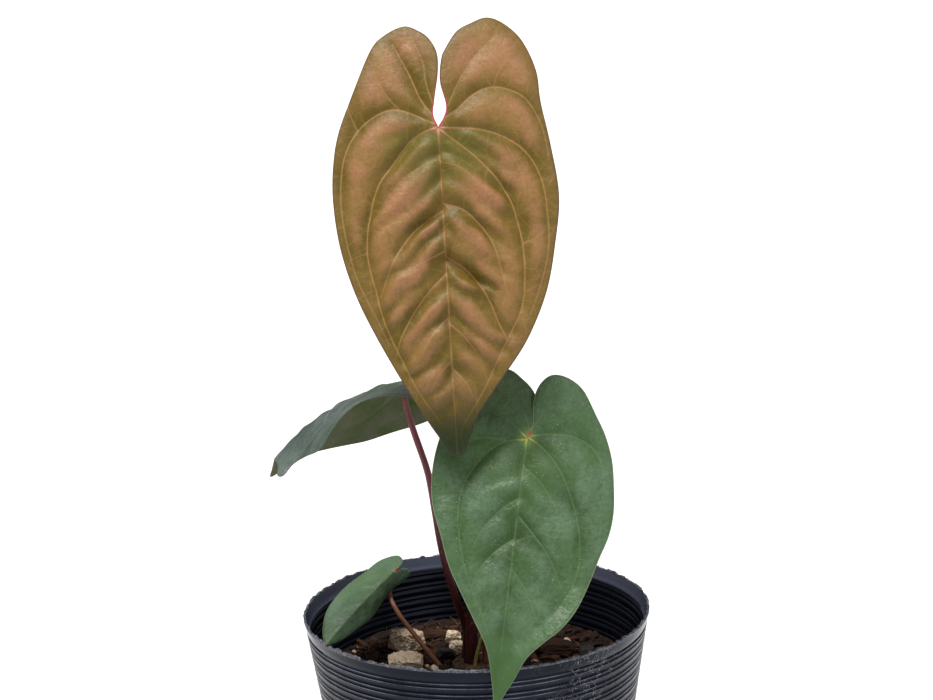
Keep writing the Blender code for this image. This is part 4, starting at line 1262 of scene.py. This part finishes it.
# the husk and bark crumbs are kept darker than their bare colour: partly their own dark brown,
# partly painted shade for the shadow in the pot
husk = crumb_material("husk_brown", (0.010, 0.004, 0.002), (0.070, 0.025, 0.011),
                      (0.5, 3.2, 3.2), 0.85)
bark_crumb = crumb_material("bark_dark", (0.007, 0.004, 0.003), (0.038, 0.017, 0.009),
                            (1.0, 2.2, 2.2), 0.9)
coal = crumb_material("charcoal_black", (0.004, 0.004, 0.004), (0.018, 0.017, 0.017),
                      (0.8, 1.6, 1.6), 0.55, shine=0.5)
pumice = crumb_material("pumice_cream", (0.62, 0.44, 0.28), (0.95, 0.78, 0.58),
                        (1.2, 1.2, 1.2), 0.9, 0.42, (0.15, 0.075, 0.04))
KEEP_OUT = 12 * MM  # no loose crumbs this close to the crown's middle


def scatter(name, count, sizes, shape, material, slot, seed, level, proud=0.25):
    """Many small pieces bedded in the mix, as one mesh.

    sizes are their least and greatest length in mm, shape their width and height as shares
    of it, and proud how much of their height stands above the mix.
    """
    rng = random.Random(seed)
    ball_points, ball_faces = ball(level)
    points, faces, own, tone = [], [], [], []
    while count:
        angle, radius = rng.uniform(0, 2 * pi), (MIX_RADIUS - 2.5 * MM) * rng.random() ** 0.5
        x, y = radius * cos(angle), radius * sin(angle)
        size = rng.uniform(*sizes) * MM
        spin = Euler((rng.gauss(0, 0.35), rng.gauss(0, 0.35), rng.uniform(0, 2 * pi))).to_matrix()
        start, shade = rng.uniform(0, 60), rng.random()
        if (Vector((x, y)) - CROWN_TOP.xy).length < KEEP_OUT:
            continue
        count -= 1
        scale = np.array([1, *(share * rng.uniform(0.75, 1.25) for share in shape)]) * size / 2
        bumps = np.array([
            1 + 0.34 * noise.noise(Vector(point) * 1.3 + Vector((start, 0, 0)))
            + 0.16 * noise.noise(Vector(point) * 3.5 + Vector((0, start, 0)))
            for point in ball_points
        ])
        local = np.clip(ball_points * bumps[:, None], -0.82, 0.82) * scale
        middle = np.array([x, y, mix_height(x, y) + proud * size * shape[1]])
        first = len(points)
        points.extend(local @ np.array(spin).T + middle)
        faces.extend(tuple(index + first for index in face) for face in ball_faces)
        own.extend(local / MM + start)
        tone.extend([shade] * len(local))
    piece(name, points, faces, material, slot, (), {"own": own, "tone": tone}, level > 2)


# the mix is kept as dark: partly its own dark brown, partly painted shade for the shadow in the
# pot
mix_look = bark_material("mix_brown", (0.006, 0.003, 0.002), (0.034, 0.015, 0.008), 420, 0.95)
piece("potting_mix", *mix_body(), mix_look, "mix_brown", ("potting_mix",))
scatter("mix_husk", 520, (3.5, 9), (0.38, 0.26), husk, "husk_brown", 1, 3)
scatter("mix_bark", 420, (2.5, 6.5), (0.7, 0.5), bark_crumb, "mix_brown", 2, 2)
scatter("mix_charcoal", 70, (2.5, 6), (0.8, 0.65), coal, "charcoal_black", 3, 2)
scatter("mix_pumice", 46, (1.8, 4.2), (0.8, 0.7), pumice, "pumice_cream", 4, 3, 0.35)
scatter("mix_dust", 900, (1.0, 2.4), (0.6, 0.5), husk, "husk_brown", 5, 1, 0.5)


def mix_fibres(count, seed):
    """Coir fibres that lie about on the mix."""
    rng = random.Random(seed)
    points, faces, own, tone = [], [], [], []
    for _ in range(count):
        angle, radius = rng.uniform(0, 2 * pi), (MIX_RADIUS - 9 * MM) * rng.random() ** 0.5
        heading, bend = rng.uniform(0, 2 * pi), rng.gauss(0, 0.16)
        place = Vector((radius * cos(angle), radius * sin(angle)))
        line, lift = [], rng.uniform(0.6, 2.4)
        for step in range(rng.randint(6, 13)):
            if place.length < MIX_RADIUS - 1.5 * MM:
                rise = lift + 0.6 * sin(step * 0.7 + angle)
                line.append((place.x, place.y, mix_height(place.x, place.y) + rise * MM))
            place = place + Vector((cos(heading), sin(heading))) * 1.5 * MM
            heading += bend
        if len(line) < 3:
            continue
        thick = rng.uniform(0.09, 0.2) * MM
        radii = np.linspace(thick, 0.4 * thick, len(line))
        tube_points, tube_faces, _ = tube(np.array(line), radii, 5)
        first = len(points)
        points.extend(tube_points)
        faces.extend(tuple(index + first for index in face) for face in tube_faces)
        own.extend(np.array(tube_points) / MM)
        tone.extend([rng.random()] * len(tube_points))
    fibre = crumb_material("coir_fibre", (0.05, 0.022, 0.010), (0.24, 0.115, 0.05), (2, 2, 2), 0.8)
    piece("mix_fibres", points, faces, fibre, "husk_brown", (), {"own": own, "tone": tone})


mix_fibres(330, 6)


def dense_copy(node, levels):
    """Points and faces of a CAD node's mesh, subdivided and so rounded."""
    bm = bmesh.new()
    bm.from_mesh(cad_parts[node].data)
    bmesh.ops.remove_doubles(bm, verts=bm.verts, dist=1e-6)
    mesh = bpy.data.meshes.new(node)
    bm.to_mesh(mesh)
    bm.free()
    helper = linked("helper", mesh)
    fine = helper.modifiers.new("fine", "SUBSURF")
    fine.levels = levels
    bpy.context.view_layer.update()
    rounded = helper.evaluated_get(bpy.context.evaluated_depsgraph_get())
    dense = rounded.to_mesh()
    points = np.array([tuple(vert.co) for vert in dense.vertices])
    faces = [tuple(face.vertices) for face in dense.polygons]
    rounded.to_mesh_clear()
    bpy.data.objects.remove(helper, do_unlink=True)
    return points, faces


# How much a kind is swollen before its facets are cut, and how many there are
CUTS = {"pumice": (1.5, 9), "charcoal": (1.22, 11), "husk": (1.22, 5)}
SQUARE = [(1, 0, 0), (-1, 0, 0), (0, 1, 0), (0, -1, 0), (0, 0, 1)]  # a pumice's first cuts


def rough_stone(node, kind, material, slot, seed):
    """A loose piece in place of the CAD's: cut facets, then bumps, pits or fibres."""
    rng = random.Random(seed)
    low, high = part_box(node)
    centre = np.array((low + high) / 2)
    half = np.array(high - low) / 2
    is_big = kind == "pumice" and seed == 1
    points, faces = dense_copy(node, 4 if is_big else 3)
    swell, facets = CUTS[kind]
    points = (points - centre) * swell
    square = SQUARE if kind == "pumice" else []
    for number in range(facets):
        tilt = np.array([rng.gauss(0, 1) for _ in range(3)]) / half
        keep = rng.uniform(0.62, 0.85)
        if number < len(square):
            tilt = np.array(square[number]) + unit(tilt) * 0.16
            keep = rng.uniform(0.64, 0.70)
        normal = unit(tilt)
        reach = np.abs(points @ normal).max() * keep
        over = np.clip(points @ normal - reach, 0, None)
        points = points - over[:, None] * normal * 0.93
    is_long = half[0] > half[1]
    grain = Vector((1, 0, 0)) if is_long else Vector((0, 1, 0))
    shift = Vector((seed * 7.1, 0, 0))
    made = []
    for point in points:
        place = Vector(point / MM)
        outward = Vector(unit(point / half**2))
        if kind == "pumice":
            rise = 0.4 * noise.noise(place * 0.4 + shift) + 0.5 * noise.noise(place * 1.1 + shift)
            rise -= 0.75 * max(0, noise.noise(place * 1.25 + shift * 2) - 0.12)
        elif kind == "charcoal":
            rise = 0.3 * noise.noise(place * 0.5 + shift) + 0.12 * noise.noise(place * 1.8 + shift)
        else:
            thin = place - grain * place.dot(grain) * 0.88
            rise = 0.55 * noise.noise(thin * 1.1 + shift) + 0.3 * noise.noise(place * 0.45 + shift)
        made.append(point + np.array(outward) * rise * MM + centre)
    made = np.array(made)
    made[:, 2] -= made[:, 2].min() - (low.z - 0.6 * MM)
    own = points / MM
    if half[1] > half[0]:
        own = own[:, [1, 0, 2]]
    marks = {"own": own + seed * 13.7, "tone": np.full(len(made), rng.uniform(0.35, 0.8))}
    piece(node, made, faces, material, slot, (node,), marks, kind != "charcoal")


LOOSE = {"pumice": (6, pumice, "pumice_cream"), "charcoal": (6, coal, "charcoal_black"),
         "husk": (11, husk, "husk_brown")}
for kind, (count, material, slot) in LOOSE.items():
    for number in range(1, count + 1):
        node = f"husk_chip_{number}" if kind == "husk" else f"{kind}_{number}"
        rough_stone(node, kind, material, slot, number)


# ------------ stage, light and camera
def sun(name, strength, angle, colour, direction):
    """A sun lamp that stands in this direction from the plant."""
    light = bpy.data.lights.new(name, "SUN")
    light.energy = strength
    light.angle = radians(angle)
    light.color = colour
    linked(name, light).rotation_euler = (-Vector(direction)).to_track_quat("-Z", "Y").to_euler()


FLOOR_HALF = 30.0  # metres
floor_mesh = bpy.data.meshes.new("floor")
corners = [(x * FLOOR_HALF, y * FLOOR_HALF, 0) for x, y in ((-1, -1), (1, -1), (1, 1), (-1, 1))]
floor_mesh.from_pydata(corners, [], [(0, 1, 2, 3)])
white = Nodes("studio_white").finish((0.93, 0.93, 0.935), 0.9, None, Specular_IOR_Level=0.1)
floor_mesh.materials.append(white)
linked("floor", floor_mesh)

world = bpy.data.worlds.new("studio")
world.use_nodes = True
background = world.node_tree.nodes["Background"]
background.inputs["Color"].default_value = (0.95, 0.97, 1.0, 1)
background.inputs["Strength"].default_value = 0.24
scene.world = world
# the key light comes from above, a little from the left and the front
sun("key", 3.7, 26, (1.0, 0.985, 0.96), (-0.2, -0.12, 1.0))
sun("fill", 0.55, 50, (0.97, 0.98, 1.0), (0.7, -0.8, 0.8))

CAMERA_PLACE = Vector((-0.0004, -1.0337, 0.5012))
CAMERA_PITCH = radians(14.13)  # down
CAMERA_ROLL = radians(2.0)
level_right = Vector((1, 0, 0))
level_up = Vector((0, sin(CAMERA_PITCH), cos(CAMERA_PITCH)))
backward = Vector((0, -cos(CAMERA_PITCH), sin(CAMERA_PITCH)))
right = level_right * cos(CAMERA_ROLL) - level_up * sin(CAMERA_ROLL)
up = level_right * sin(CAMERA_ROLL) + level_up * cos(CAMERA_ROLL)
camera_data = bpy.data.cameras.new("camera")
camera_data.sensor_width = 36
camera_data.lens = 96.8
camera = linked("camera", camera_data)
camera.matrix_world = Matrix((right, up, backward)).transposed().to_4x4()
camera.location = CAMERA_PLACE
scene.camera = camera
scene.view_settings.view_transform = "Standard"
